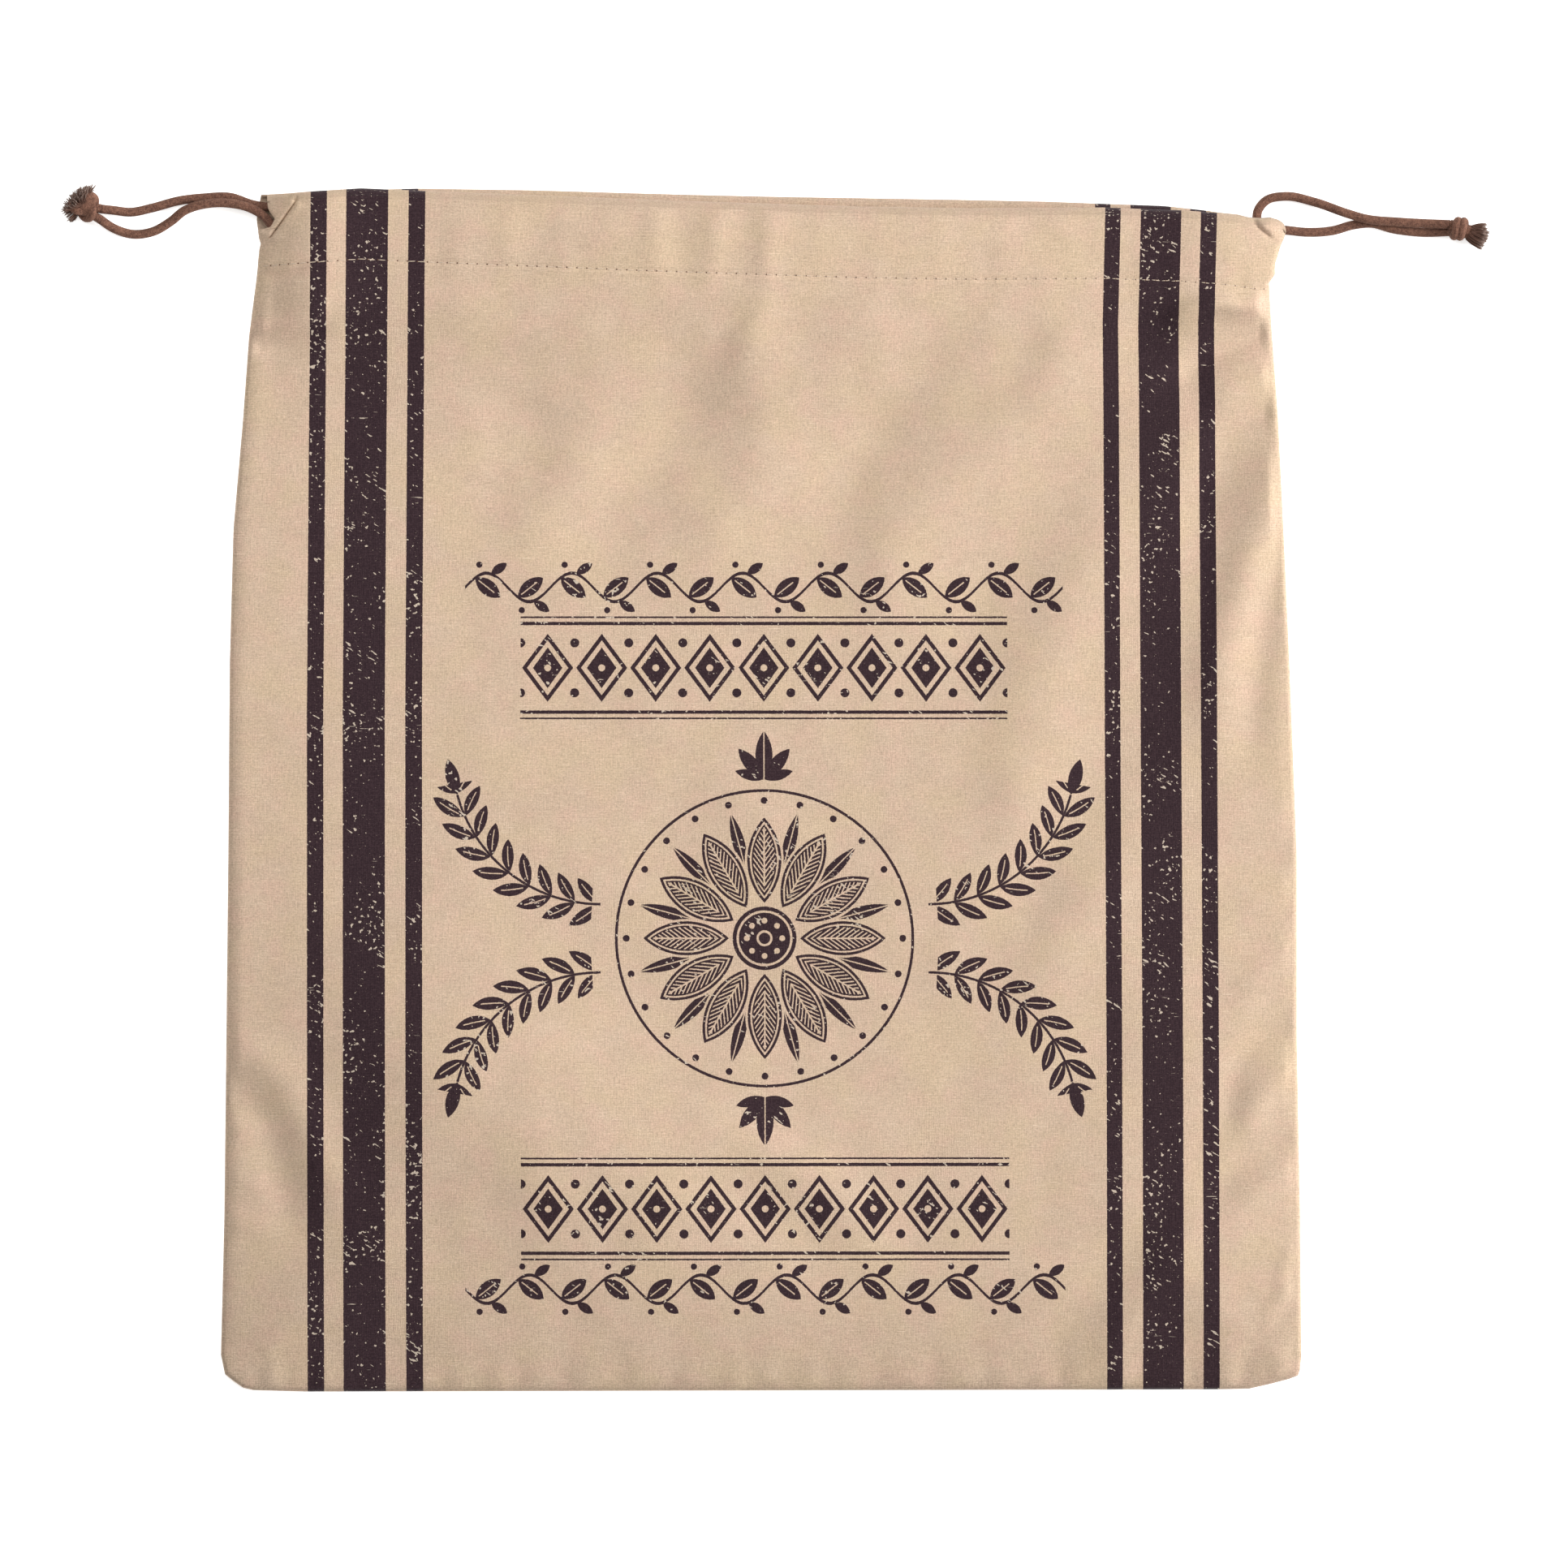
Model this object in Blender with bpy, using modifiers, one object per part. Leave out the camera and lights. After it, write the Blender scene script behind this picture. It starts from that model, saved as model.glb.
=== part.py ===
"""Cotton drawstring bread bag, lying on its back with its front up and its mouth towards +Y.

Metres, +Z up. The origin lies under the middle of the bag, on the surface that it rests on. Two panels are
sewn together at the sides and along the bottom. The top of each is turned inside as a casing. Two cords
run round through both casings, and each is knotted at its own side.
"""

import math

import bmesh
import bpy
import numpy as np
from mathutils import Matrix, Vector

BAG = "cotton_bread_bag"

# Cloth and cord
CLOTH = 0.0010
CLEAR = 0.0003
SEAM_CLEAR = 0.0004
CORD_RADIUS = 0.0016
STRAND_TO_FACE = CORD_RADIUS + CLEAR + CLOTH

# Casings, measured down from a panel's top edge
STITCH_LINE = 0.0250
HEM_END = 0.0275
ROOM_END = 0.0200
LAYER_GAP = 0.00035
FLAT_CASING = 2 * CLOTH + LAYER_GAP
INNER_LAYER_FREE = 0.136
INNER_LAYER_END = 0.146

# Sewn edges, where each panel rolls over to the seam
ROLL = 0.0016
LIP = 0.0004
BACK_LIP_TOP = ROLL + LIP
FRONT_EDGE = BACK_LIP_TOP + SEAM_CLEAR + LIP
FRONT_SHOULDER = FRONT_EDGE + ROLL
SHOULDER_WIDTH = 0.030
LEFT_SEAM_TOP = 0.190
RIGHT_SEAM_TOP = 0.180
SEAM_OPENS_OVER = 0.012

# Height of the front above the surface, away from its edges
FIELD_HEIGHT = 0.0078
CROWN = 0.0008
CROWN_HALF_WIDTH = 0.170
CASING_SLOPE = 0.065

# Columns: y, x of the left edge, x of the right edge
SEWN_SIDES = (
    (-0.1990, -0.1903, 0.1904),
    (-0.1500, -0.1891, 0.1900),
    (-0.0870, -0.1884, 0.1888),
    (-0.0220, -0.1877, 0.1888),
    (0.0450, -0.1872, 0.1862),
    (0.0920, -0.1859, 0.1841),
    (0.1310, -0.1825, 0.1822),
    (0.1600, -0.1804, 0.1801),
    (0.1785, -0.1780, 0.1789),
)
FRONT_ENDS = (
    (0.1816, -0.1775, 0.1809),
    (0.1858, -0.1772, 0.1810),
    (0.1926, -0.1763, 0.1829),
    (0.1958, -0.1744, 0.1846),
    (0.1981, -0.1731, 0.1848),
    (0.2012, -0.1717, 0.1832),
    (0.2047, -0.1734, 0.1812),
    (0.2090, -0.1740, 0.1800),
)
BACK_ENDS = (
    (0.1858, -0.1772, 0.1745),
    (0.1926, -0.1763, 0.1690),
    (0.1964, -0.1772, 0.1678),
    (0.2015, -0.1778, 0.1672),
    (0.2097, -0.1762, 0.1668),
)

# Columns: x, y of the edge
BOTTOM_EDGE = (
    (-0.1903, -0.1990),
    (-0.1889, -0.2059),
    (-0.1859, -0.2083),
    (-0.1826, -0.2106),
    (-0.1790, -0.2115),
    (-0.1600, -0.2120),
    (0.1615, -0.2112),
    (0.1720, -0.2110),
    (0.1795, -0.2093),
    (0.1860, -0.2076),
    (0.1892, -0.2064),
    (0.1899, -0.2045),
    (0.1904, -0.1990),
)
FRONT_TOP = (
    (-0.1762, 0.2094),
    (-0.1580, 0.2107),
    (-0.1408, 0.2118),
    (-0.1183, 0.2108),
    (-0.0799, 0.2093),
    (-0.0413, 0.2077),
    (-0.0119, 0.2067),
    (0.0347, 0.2052),
    (0.0712, 0.2047),
    (0.1207, 0.2050),
    (0.1481, 0.2040),
    (0.1612, 0.2031),
    (0.1730, 0.2012),
    (0.1830, 0.2014),
)
BACK_TOP = (
    (-0.1762, 0.2097),
    (-0.1500, 0.2112),
    (-0.1208, 0.2119),
    (-0.0799, 0.2113),
    (-0.0496, 0.2104),
    (-0.0245, 0.2097),
    (0.0064, 0.2090),
    (0.0667, 0.2080),
    (0.1010, 0.2073),
    (0.1167, 0.2067),
    (0.1420, 0.2058),
    (0.1566, 0.2042),
    (0.1664, 0.2033),
)

# Columns: x, height of the cords' middles in the front casing. The mouth stands open in the middle.
FRONT_STRANDS = (
    (-0.1765, 0.0044),
    (-0.1725, 0.0049),
    (-0.1690, 0.0063),
    (-0.1630, 0.0088),
    (-0.1570, 0.0101),
    (-0.1500, 0.0099),
    (-0.1400, 0.0094),
    (-0.0950, 0.0113),
    (-0.0500, 0.0131),
    (0.0000, 0.0136),
    (0.0500, 0.0131),
    (0.0950, 0.0113),
    (0.1400, 0.0094),
    (0.1500, 0.0097),
    (0.1570, 0.0095),
    (0.1650, 0.0087),
    (0.1720, 0.0076),
    (0.1790, 0.0063),
    (0.1848, 0.0047),
)
PROBE = 0.0010
BACK_STRAND = STRAND_TO_FACE

# Soft folds of the front. Columns: x and y of one end, x and y of the other, half width, rise
FOLDS = (
    (-0.022, 0.155, -0.057, 0.081, 0.011, -0.0009),
    (0.004, 0.164, -0.025, 0.092, 0.012, 0.0010),
    (0.095, 0.172, 0.021, 0.104, 0.012, -0.0010),
    (0.126, 0.155, 0.055, 0.081, 0.014, 0.0010),
    (-0.042, 0.144, -0.085, 0.081, 0.011, 0.0008),
    (0.101, 0.092, 0.095, -0.093, 0.014, 0.0008),
    (0.185, 0.118, 0.161, 0.061, 0.010, 0.0011),
    (-0.174, -0.082, -0.145, -0.150, 0.011, 0.0009),
    (-0.030, -0.115, 0.045, -0.175, 0.014, -0.0007),
    (0.118, -0.160, 0.150, -0.205, 0.012, 0.0007),
)

# Columns of the cloth's grid, as distances in from each side. The first two share the sewn edge.
EDGE_COLUMNS = (0.0, 0.0, 0.0005, 0.0016, 0.0045, 0.0085, 0.0140, 0.0200, 0.0265, 0.0345)
MIDDLE_COLUMNS = 21

# Rows of the cloth's grid, from the bottom seam up and then over the top edge into the casing
BOTTOM_ROWS = (0.0, 0.0, 0.0005, 0.0016, 0.0060, 0.0140)
FIELD_END = 0.0420
FIELD_ROWS = 23
OUTER_CASING_ROWS = (FIELD_END, 0.0360, 0.0300, STITCH_LINE, 0.0225, ROOM_END, 0.0145, 0.0085)
TOP_FOLD_ANGLES = (90.0, 55.0, 25.0, 0.0, -25.0, -55.0, -90.0)
INNER_CASING_ROWS = (0.0085, 0.0145, ROOM_END, 0.0225, STITCH_LINE, HEM_END)

# The left cord's route from its knot through the front casing, round and back through the back casing
LEFT_ROUTE = (
    (-0.2330, 0.2011, 0.0038),
    (-0.2279, 0.1978, 0.0023),
    (-0.2208, 0.1958, 0.0017),
    (-0.2142, 0.1968, 0.0017),
    (-0.2079, 0.2004, 0.0019),
    (-0.2033, 0.2040, 0.0033),
    (-0.1962, 0.2063, 0.0046),
    (-0.1871, 0.2066, 0.0048),
    (-0.1796, 0.2048, 0.0048),
    (-0.1742, 0.2013, 0.0048),
    (-0.1721, 0.1987, 0.0051),
    (-0.1680, 0.1971, 0.0068),
    (-0.1630, 0.1973, 0.0088),
    (-0.1570, 0.1982, 0.0101),
    (-0.1500, 0.1990, 0.0099),
    (-0.1400, 0.1994, 0.0094),
    (-0.0950, 0.1972, 0.0113),
    (-0.0500, 0.1944, 0.0131),
    (0.0000, 0.1916, 0.0136),
    (0.0500, 0.1893, 0.0131),
    (0.0950, 0.1881, 0.0113),
    (0.1400, 0.1868, 0.0094),
    (0.1515, 0.1858, 0.0097),
    (0.1565, 0.1870, 0.0091),
    (0.1595, 0.1925, 0.0063),
    (0.1565, 0.1981, 0.0035),
    (0.1515, 0.1993, 0.0029),
    (0.1000, 0.2020, 0.0029),
    (0.0000, 0.2042, 0.0029),
    (-0.1000, 0.2067, 0.0029),
    (-0.1650, 0.2061, 0.0029),
    (-0.1733, 0.2054, 0.0029),
    (-0.1785, 0.2061, 0.0029),
    (-0.1871, 0.2089, 0.0018),
    (-0.1962, 0.2087, 0.0017),
    (-0.2053, 0.2076, 0.0017),
    (-0.2142, 0.2052, 0.0017),
    (-0.2223, 0.2036, 0.0021),
    (-0.2280, 0.2042, 0.0032),
    (-0.2328, 0.2047, 0.0040),
)

# The right cord's route, the other way round
RIGHT_ROUTE = (
    (0.2424, 0.1967, 0.0026),
    (0.2332, 0.1965, 0.0017),
    (0.2224, 0.1978, 0.0017),
    (0.2152, 0.1997, 0.0017),
    (0.2087, 0.1991, 0.0017),
    (0.2015, 0.1971, 0.0019),
    (0.1924, 0.1965, 0.0028),
    (0.1847, 0.1972, 0.0043),
    (0.1790, 0.1975, 0.0060),
    (0.1650, 0.1980, 0.0087),
    (0.1570, 0.1984, 0.0095),
    (0.1500, 0.1989, 0.0097),
    (0.1400, 0.1995, 0.0094),
    (0.0950, 0.2000, 0.0113),
    (0.0500, 0.2001, 0.0131),
    (0.0000, 0.2014, 0.0136),
    (-0.0500, 0.2032, 0.0131),
    (-0.0950, 0.2050, 0.0113),
    (-0.1400, 0.2065, 0.0094),
    (-0.1515, 0.2060, 0.0099),
    (-0.1565, 0.2048, 0.0091),
    (-0.1594, 0.1994, 0.0063),
    (-0.1565, 0.1940, 0.0035),
    (-0.1515, 0.1928, 0.0029),
    (-0.1400, 0.1933, 0.0029),
    (-0.0950, 0.1936, 0.0029),
    (0.0000, 0.1932, 0.0029),
    (0.1500, 0.1914, 0.0029),
    (0.1665, 0.1917, 0.0029),
    (0.1720, 0.1950, 0.0029),
    (0.1743, 0.1990, 0.0029),
    (0.1752, 0.2044, 0.0027),
    (0.1780, 0.2077, 0.0021),
    (0.1847, 0.2092, 0.0018),
    (0.1949, 0.2072, 0.0022),
    (0.2061, 0.2032, 0.0047),
    (0.2124, 0.2013, 0.0052),
    (0.2244, 0.2001, 0.0045),
    (0.2332, 0.1996, 0.0041),
    (0.2424, 0.1992, 0.0052),
)
FINE_STEPS = 24
LONGEST_STEP = 0.0165
SHARPEST_TURN = math.radians(20)

# Knots. Columns: x, y, z of the middle, then half lengths along x, y and z
LEFT_KNOT_CORE = (-0.2388, 0.2066, 0.0044, 0.0050, 0.0048, 0.0040)
RIGHT_KNOT_CORE = (0.2460, 0.1978, 0.0040, 0.0026, 0.0034, 0.0034)

# Turns of cord round a knot. Columns: x, y, z of the middle, mean radius, cord radius,
# lean from upright about x and turn about z in degrees
LEFT_KNOT_TURNS = (
    (-0.2372, 0.2057, 0.0044, 0.0033, 0.0013, 62, 25),
    (-0.2392, 0.2076, 0.0046, 0.0034, 0.0013, 78, 120),
    (-0.2404, 0.2056, 0.0045, 0.0031, 0.0012, 35, 70),
)
RIGHT_KNOT_TURNS = (
    (0.2442, 0.1980, 0.0043, 0.0031, 0.0012, 90, 96),
    (0.2474, 0.1976, 0.0043, 0.0030, 0.0012, 90, 84),
)

# Frayed bunches. Columns: x, y, z of the root, x, y, z of the tip, radius at the root, radius at the tip
LEFT_TUFTS = (
    (-0.2400, 0.2090, 0.0043, -0.2452, 0.2098, 0.0028, 0.0020, 0.0013),
    (-0.2400, 0.2090, 0.0043, -0.2440, 0.2122, 0.0034, 0.0020, 0.0014),
    (-0.2395, 0.2090, 0.0046, -0.2413, 0.2131, 0.0040, 0.0020, 0.0014),
    (-0.2385, 0.2090, 0.0046, -0.2384, 0.2122, 0.0042, 0.0018, 0.0012),
    (-0.2410, 0.2065, 0.0036, -0.2453, 0.2042, 0.0020, 0.0017, 0.0013),
    (-0.2410, 0.2070, 0.0036, -0.2454, 0.2058, 0.0020, 0.0017, 0.0011),
)
RIGHT_TUFTS = (
    (0.2480, 0.1975, 0.0038, 0.2560, 0.1984, 0.0028, 0.0022, 0.0017),
    (0.2480, 0.1972, 0.0038, 0.2556, 0.1957, 0.0024, 0.0022, 0.0017),
    (0.2480, 0.1970, 0.0038, 0.2541, 0.1938, 0.0022, 0.0020, 0.0013),
)
KNOT_VOXEL = 0.00045
KNOT_FACES_KEPT = 0.16

# Colours: red, green, blue, then roughness
COTTON = (0.67, 0.50, 0.36, 0.9)
CORD_BROWN = (0.16, 0.075, 0.05, 0.85)


def clear_scene():
    for obj in list(bpy.data.objects):
        bpy.data.objects.remove(obj)


def make_collection(name):
    collection = bpy.data.collections.new(name)
    bpy.context.scene.collection.children.link(collection)
    return collection


def make_material(name, finish):
    """A matt material from its red, green, blue and roughness."""
    material = bpy.data.materials.new(name)
    material.use_nodes = True
    shader = material.node_tree.nodes["Principled BSDF"]
    shader.inputs["Base Color"].default_value = (*finish[:3], 1)
    shader.inputs["Roughness"].default_value = finish[3]
    shader.inputs["Metallic"].default_value = 0
    return material


def read(table, value, column=1):
    """A column of a table at a value of its first column, in straight runs between rows."""
    rows = np.array(table)
    return float(np.interp(value, rows[:, 0], rows[:, column]))


def hermite(start, end, start_slope, end_slope, length, part):
    """A cubic from start to end, part of the way along."""
    square = part * part
    cube = square * part
    return (
        (2 * cube - 3 * square + 1) * start
        + (cube - 2 * square + part) * length * start_slope
        + (3 * square - 2 * cube) * end
        + (cube - square) * length * end_slope
    )


def slopes(stations, values):
    """Slopes of a smooth curve through points at stations."""
    steps = np.diff(stations)
    rises = np.diff(values, axis=0) / steps[:, None]
    found = np.empty_like(values)
    found[0] = rises[0]
    found[-1] = rises[-1]
    for i in range(1, len(values) - 1):
        before, after = steps[i - 1], steps[i]
        found[i] = (rises[i - 1] * after + rises[i] * before) / (before + after)
    return found


def height_slopes(stations, heights):
    """Slopes of a smooth curve that never passes above or below the heights it joins."""
    rises = np.diff(heights) / np.diff(stations)
    found = np.zeros_like(heights)
    found[0] = rises[0]
    found[-1] = rises[-1]
    for i in range(1, len(heights) - 1):
        before, after = rises[i - 1], rises[i]
        if before * after > 0:
            found[i] = 2 * before * after / (before + after)
    return found


def read_smooth(table, value):
    """The second column of a table at a value of its first, on a smooth curve through its rows."""
    rows = np.array(table)
    stations, values = rows[:, 0], rows[:, 1]
    value = float(np.clip(value, stations[0], stations[-1]))
    i = int(np.clip(np.searchsorted(stations, value) - 1, 0, len(stations) - 2))
    tangents = height_slopes(stations, values)
    length = stations[i + 1] - stations[i]
    part = (value - stations[i]) / length
    return float(hermite(values[i], values[i + 1], tangents[i], tangents[i + 1], length, part))


def ease(value):
    """A soft step from 0 to 1."""
    value = min(max(value, 0.0), 1.0)
    return value * value * (3 - 2 * value)


def mix(low, high, share):
    return low + (high - low) * share


def segment_distance(x, y, x0, y0, x1, y1):
    """Distance from a point to a segment in plan, and the share of the segment at the nearest point."""
    along_x, along_y = x1 - x0, y1 - y0
    share = ((x - x0) * along_x + (y - y0) * along_y) / (along_x**2 + along_y**2)
    share = min(max(share, 0.0), 1.0)
    return math.hypot(x - x0 - share * along_x, y - y0 - share * along_y), share


def seam_line():
    """The sewn edge in plan: down the left side, along the bottom and up the right side."""
    left = [(row[1], row[0]) for row in reversed(SEWN_SIDES)]
    right = [(row[2], row[0]) for row in SEWN_SIDES]
    top_left = (read(SEWN_SIDES + FRONT_ENDS, LEFT_SEAM_TOP), LEFT_SEAM_TOP)
    return [top_left, *left, *BOTTOM_EDGE[1:-1], *right]


SEAM = seam_line()


def seam_distance(x, y):
    return min(segment_distance(x, y, *SEAM[i], *SEAM[i + 1])[0] for i in range(len(SEAM) - 1))


def sewn_share(x, y):
    """1 along the seams and 0 at the casings, whose ends are open."""
    seam_top = mix(LEFT_SEAM_TOP, RIGHT_SEAM_TOP, (x + 0.19) / 0.38)
    return 1 - ease((y - seam_top + SEAM_OPENS_OVER) / SEAM_OPENS_OVER)


def casing_room(down):
    """1 where a casing stands open round the cords, and 0 where its layers are stitched."""
    return 1 - ease((down - ROOM_END) / (STITCH_LINE - ROOM_END))


def casing_reach(x):
    """How far the front casing's faces lie above and below the cords' middles, more where the cords climb."""
    climb = read_smooth(FRONT_STRANDS, x + PROBE) - read_smooth(FRONT_STRANDS, x - PROBE)
    return STRAND_TO_FACE * math.hypot(1, climb / (2 * PROBE))


def fold_rise(x, y):
    """How far the soft folds lift or sink the front at a place."""
    rise = 0.0
    for x0, y0, x1, y1, half_width, height in FOLDS:
        distance, share = segment_distance(x, y, x0, y0, x1, y1)
        fade = ease(share / 0.25) * ease((1 - share) / 0.25)
        rise += height * fade * math.exp(-((distance / half_width) ** 2))
    return rise


def field_height(x, y):
    """Height of the front's outer face below its casing, before its edges roll over."""
    crown = CROWN * math.exp(-((x / CROWN_HALF_WIDTH) ** 2) - (y / CROWN_HALF_WIDTH) ** 2)
    return FIELD_HEIGHT + crown + fold_rise(x, y)


def front_height(x, y, down):
    """Height of the front's outer face, with down the distance below its top edge."""
    strand = read_smooth(FRONT_STRANDS, x)
    reach = casing_reach(x)
    casing = mix(strand - reach + FLAT_CASING, strand + reach, casing_room(down))
    share = ease((down - STITCH_LINE) / CASING_SLOPE)
    return mix(casing, field_height(x, y), share)


def front_outer(x, y, down):
    """Height of the front's outer face with its sewn edges rolled over to the seam."""
    height = front_height(x, y, down)
    distance = seam_distance(x, y)
    inside = 1 - min(distance / ROLL, 1.0)
    rolled = FRONT_EDGE + ROLL * math.sqrt(1 - inside**2)
    shoulder = 1 - (1 - min(distance / SHOULDER_WIDTH, 1.0)) ** 2
    rolled += (height - FRONT_SHOULDER) * shoulder
    return mix(height, rolled, sewn_share(x, y))


def back_outer(x, y, down):
    """Height of the back's outer face, flat on the surface but for its sewn edges."""
    inside = 1 - min(seam_distance(x, y) / ROLL, 1.0)
    return ROLL * (1 - math.sqrt(1 - inside**2)) * sewn_share(x, y)


def grid_columns():
    """The grid's columns: share of the width, distance in from that side, and 1 on a sewn lip."""
    left = [(0.0, distance, float(i == 0)) for i, distance in enumerate(EDGE_COLUMNS)]
    first = EDGE_COLUMNS[-1] / 0.38
    shares = np.linspace(first, 1 - first, MIDDLE_COLUMNS + 2)[1:-1]
    middle = [(float(share), 0.0, 0.0) for share in shares]
    right = [(1.0, -distance, lip) for _, distance, lip in reversed(left)]
    return left + middle + right


def inner_squeeze(x, edge):
    """The place across the bag of a column in the turned-in layer, which stops short of the sides."""
    if abs(x) <= INNER_LAYER_FREE:
        return x
    share = (abs(x) - INNER_LAYER_FREE) / (abs(edge) - INNER_LAYER_FREE)
    return math.copysign(mix(INNER_LAYER_FREE, INNER_LAYER_END, share), x)


class Panel:
    """One panel's outline and faces. side is 1 for the front and -1 for the back."""

    def __init__(self, sides, top, outer, side):
        self.sides = sides
        self.top = top
        self.outer = outer
        self.side = side

    def strand(self, x):
        return read_smooth(FRONT_STRANDS, x) if self.side > 0 else BACK_STRAND

    def reach(self, x):
        return casing_reach(x) if self.side > 0 else STRAND_TO_FACE

    def across(self, column, y):
        """x of a column at a height y, its sewn lip spread flat where the casing's end is open."""
        share, distance, lip = column
        left, right = read(self.sides, y, 1), read(self.sides, y, 2)
        edge = mix(left, right, share)
        loose = ease(1 - 2 * sewn_share(edge, y))
        at_edge = share in (0.0, 1.0) and not lip
        return edge + distance + math.copysign(LIP * loose, 0.5 - share) * at_edge

    def place(self, column, find_y):
        """x and y of a column on a row whose y depends on x."""
        x = mix(-0.18, 0.18, column[0])
        for _ in range(4):
            y = find_y(x)
            x = self.across(column, y)
        return x, find_y(x)

    def bottom_point(self, column, up, lip_row):
        x, y = self.place(column, lambda x: read(BOTTOM_EDGE, x) + up)
        down = read(self.top, x) - y
        z = self.outer(x, y, down)
        lip = max(column[2], lip_row) * sewn_share(x, y)
        return x, y, z - self.side * LIP * lip

    def outer_point(self, column, find_y):
        x, y = self.place(column, find_y)
        z = self.outer(x, y, read(self.top, x) - y)
        return x, y, z - self.side * LIP * column[2] * sewn_share(x, y)

    def field_point(self, column, share):
        def find_y(x):
            low = read(BOTTOM_EDGE, x) + BOTTOM_ROWS[-1]
            return mix(low, read(self.top, x) - FIELD_END, share)

        return self.outer_point(column, find_y)

    def casing_point(self, column, down):
        return self.outer_point(column, lambda x: read(self.top, x) - down)

    def turned_in_place(self, column, down, share):
        """x of a column past the top edge, share of the way to the turned-in layer."""
        x, _ = self.place(column, lambda x: read(self.top, x) - down)
        edge, _ = self.place((float(x > 0), 0.0, 1.0), lambda x: read(self.top, x) - down)
        return mix(x, inner_squeeze(x, edge), share)

    def fold_point(self, column, angle):
        """A point on the round top edge, from the outer layer at 90 degrees to the inner at -90."""
        share = ease(-angle / 90)
        down = STRAND_TO_FACE * (1 - math.cos(math.radians(angle)))
        x = self.turned_in_place(column, down, share)
        rise = self.reach(x) * math.sin(math.radians(angle))
        return x, read(self.top, x) - down, self.strand(x) + self.side * rise

    def inner_point(self, column, down):
        x = self.turned_in_place(column, down, 1.0)
        far = self.strand(x) - self.side * self.reach(x)
        if self.side < 0:
            far = mix(FLAT_CASING, far, casing_room(down))
        return x, read(self.top, x) - down, far

    def rows(self):
        columns = grid_columns()
        for i, up in enumerate(BOTTOM_ROWS):
            yield [self.bottom_point(column, up, float(i == 0)) for column in columns]
        for share in np.linspace(0, 1, FIELD_ROWS + 2)[1:-1]:
            yield [self.field_point(column, float(share)) for column in columns]
        for down in OUTER_CASING_ROWS:
            yield [self.casing_point(column, down) for column in columns]
        for angle in TOP_FOLD_ANGLES:
            yield [self.fold_point(column, angle) for column in columns]
        for down in INNER_CASING_ROWS:
            yield [self.inner_point(column, down) for column in columns]


def cloth_panel(name, panel, collection, material):
    """A panel's outer face as a grid, given the cloth's thickness on its inner side."""
    rows = list(panel.rows())
    shell = bmesh.new()
    grid = [[shell.verts.new(point) for point in row] for row in rows]
    for below, above in zip(grid, grid[1:]):
        for i in range(len(below) - 1):
            corners = [below[i], below[i + 1], above[i + 1], above[i]]
            shell.faces.new(corners if panel.side > 0 else corners[::-1])
    bmesh.ops.remove_doubles(shell, verts=shell.verts, dist=1e-6)
    obj = mesh_object(name, shell, collection, material)
    thickness = obj.modifiers.new("cloth thickness", "SOLIDIFY")
    thickness.thickness = CLOTH
    thickness.offset = -1
    return obj


def mesh_object(name, shape, collection, material):
    mesh = bpy.data.meshes.new(name)
    shape.to_mesh(mesh)
    shape.free()
    mesh.shade_smooth()
    mesh.materials.append(material)
    obj = bpy.data.objects.new(name, mesh)
    collection.objects.link(obj)
    return obj


def smooth_route(points):
    """Closely spaced points on a smooth curve through a route."""
    points = np.array(points)
    stations = np.concatenate([[0], np.cumsum(np.linalg.norm(np.diff(points, axis=0), axis=1))])
    tangents = slopes(stations, points)
    tangents[:, 2] = height_slopes(stations, points[:, 2])
    curve = []
    for i in range(len(points) - 1):
        length = stations[i + 1] - stations[i]
        for step in range(FINE_STEPS):
            part = step / FINE_STEPS
            curve.append(hermite(points[i], points[i + 1], tangents[i], tangents[i + 1], length, part))
    curve.append(points[-1])
    return [Vector(point) for point in curve]


def thin_out(curve):
    """Fewer points of a curve, closer together where it bends."""
    kept = [curve[0]]
    heading = (curve[1] - curve[0]).normalized()
    for here, there in zip(curve[1:-1], curve[2:]):
        turned = heading.angle((there - here).normalized())
        if turned > SHARPEST_TURN or (here - kept[-1]).length > LONGEST_STEP:
            kept.append(here)
            heading = (there - here).normalized()
    return [*kept, curve[-1]]


def cord(name, route, collection, material):
    """One round cord along its route."""
    points = thin_out(smooth_route(route))
    curve = bpy.data.curves.new(name, "CURVE")
    curve.dimensions = "3D"
    curve.bevel_depth = CORD_RADIUS
    curve.bevel_resolution = 2
    curve.use_fill_caps = True
    curve.materials.append(material)
    spline = curve.splines.new("POLY")
    spline.points.add(len(points) - 1)
    for place, point in zip(spline.points, points):
        place.co = (*point, 1)
    obj = bpy.data.objects.new(name, curve)
    collection.objects.link(obj)
    return obj


def add_core(shape, core):
    """The rounded middle of a knot."""
    sizes = Matrix.Diagonal((*core[3:], 1))
    place = Matrix.Translation(core[:3])
    bmesh.ops.create_uvsphere(shape, u_segments=16, v_segments=10, radius=1, matrix=place @ sizes)


def add_turn(shape, turn, steps=20, sides=8):
    """A ring of cord round a knot, its radius, lean and heading taken from a table's row."""
    x, y, z, mean_radius, cord_radius, lean, heading = turn
    place = Matrix.Translation((x, y, z))
    place = place @ Matrix.Rotation(math.radians(heading), 4, "Z")
    place = place @ Matrix.Rotation(math.radians(lean), 4, "X")
    rings = []
    for step in range(steps):
        around = math.tau * step / steps
        ring = []
        for side in range(sides):
            about = math.tau * side / sides
            reach = mean_radius + cord_radius * math.cos(about)
            point = (reach * math.cos(around), reach * math.sin(around), cord_radius * math.sin(about))
            ring.append(shape.verts.new(place @ Vector(point)))
        rings.append(ring)
    for step, ring in enumerate(rings):
        following = rings[(step + 1) % steps]
        for side in range(sides):
            after = (side + 1) % sides
            shape.faces.new((ring[side], following[side], following[after], ring[after]))


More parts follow.
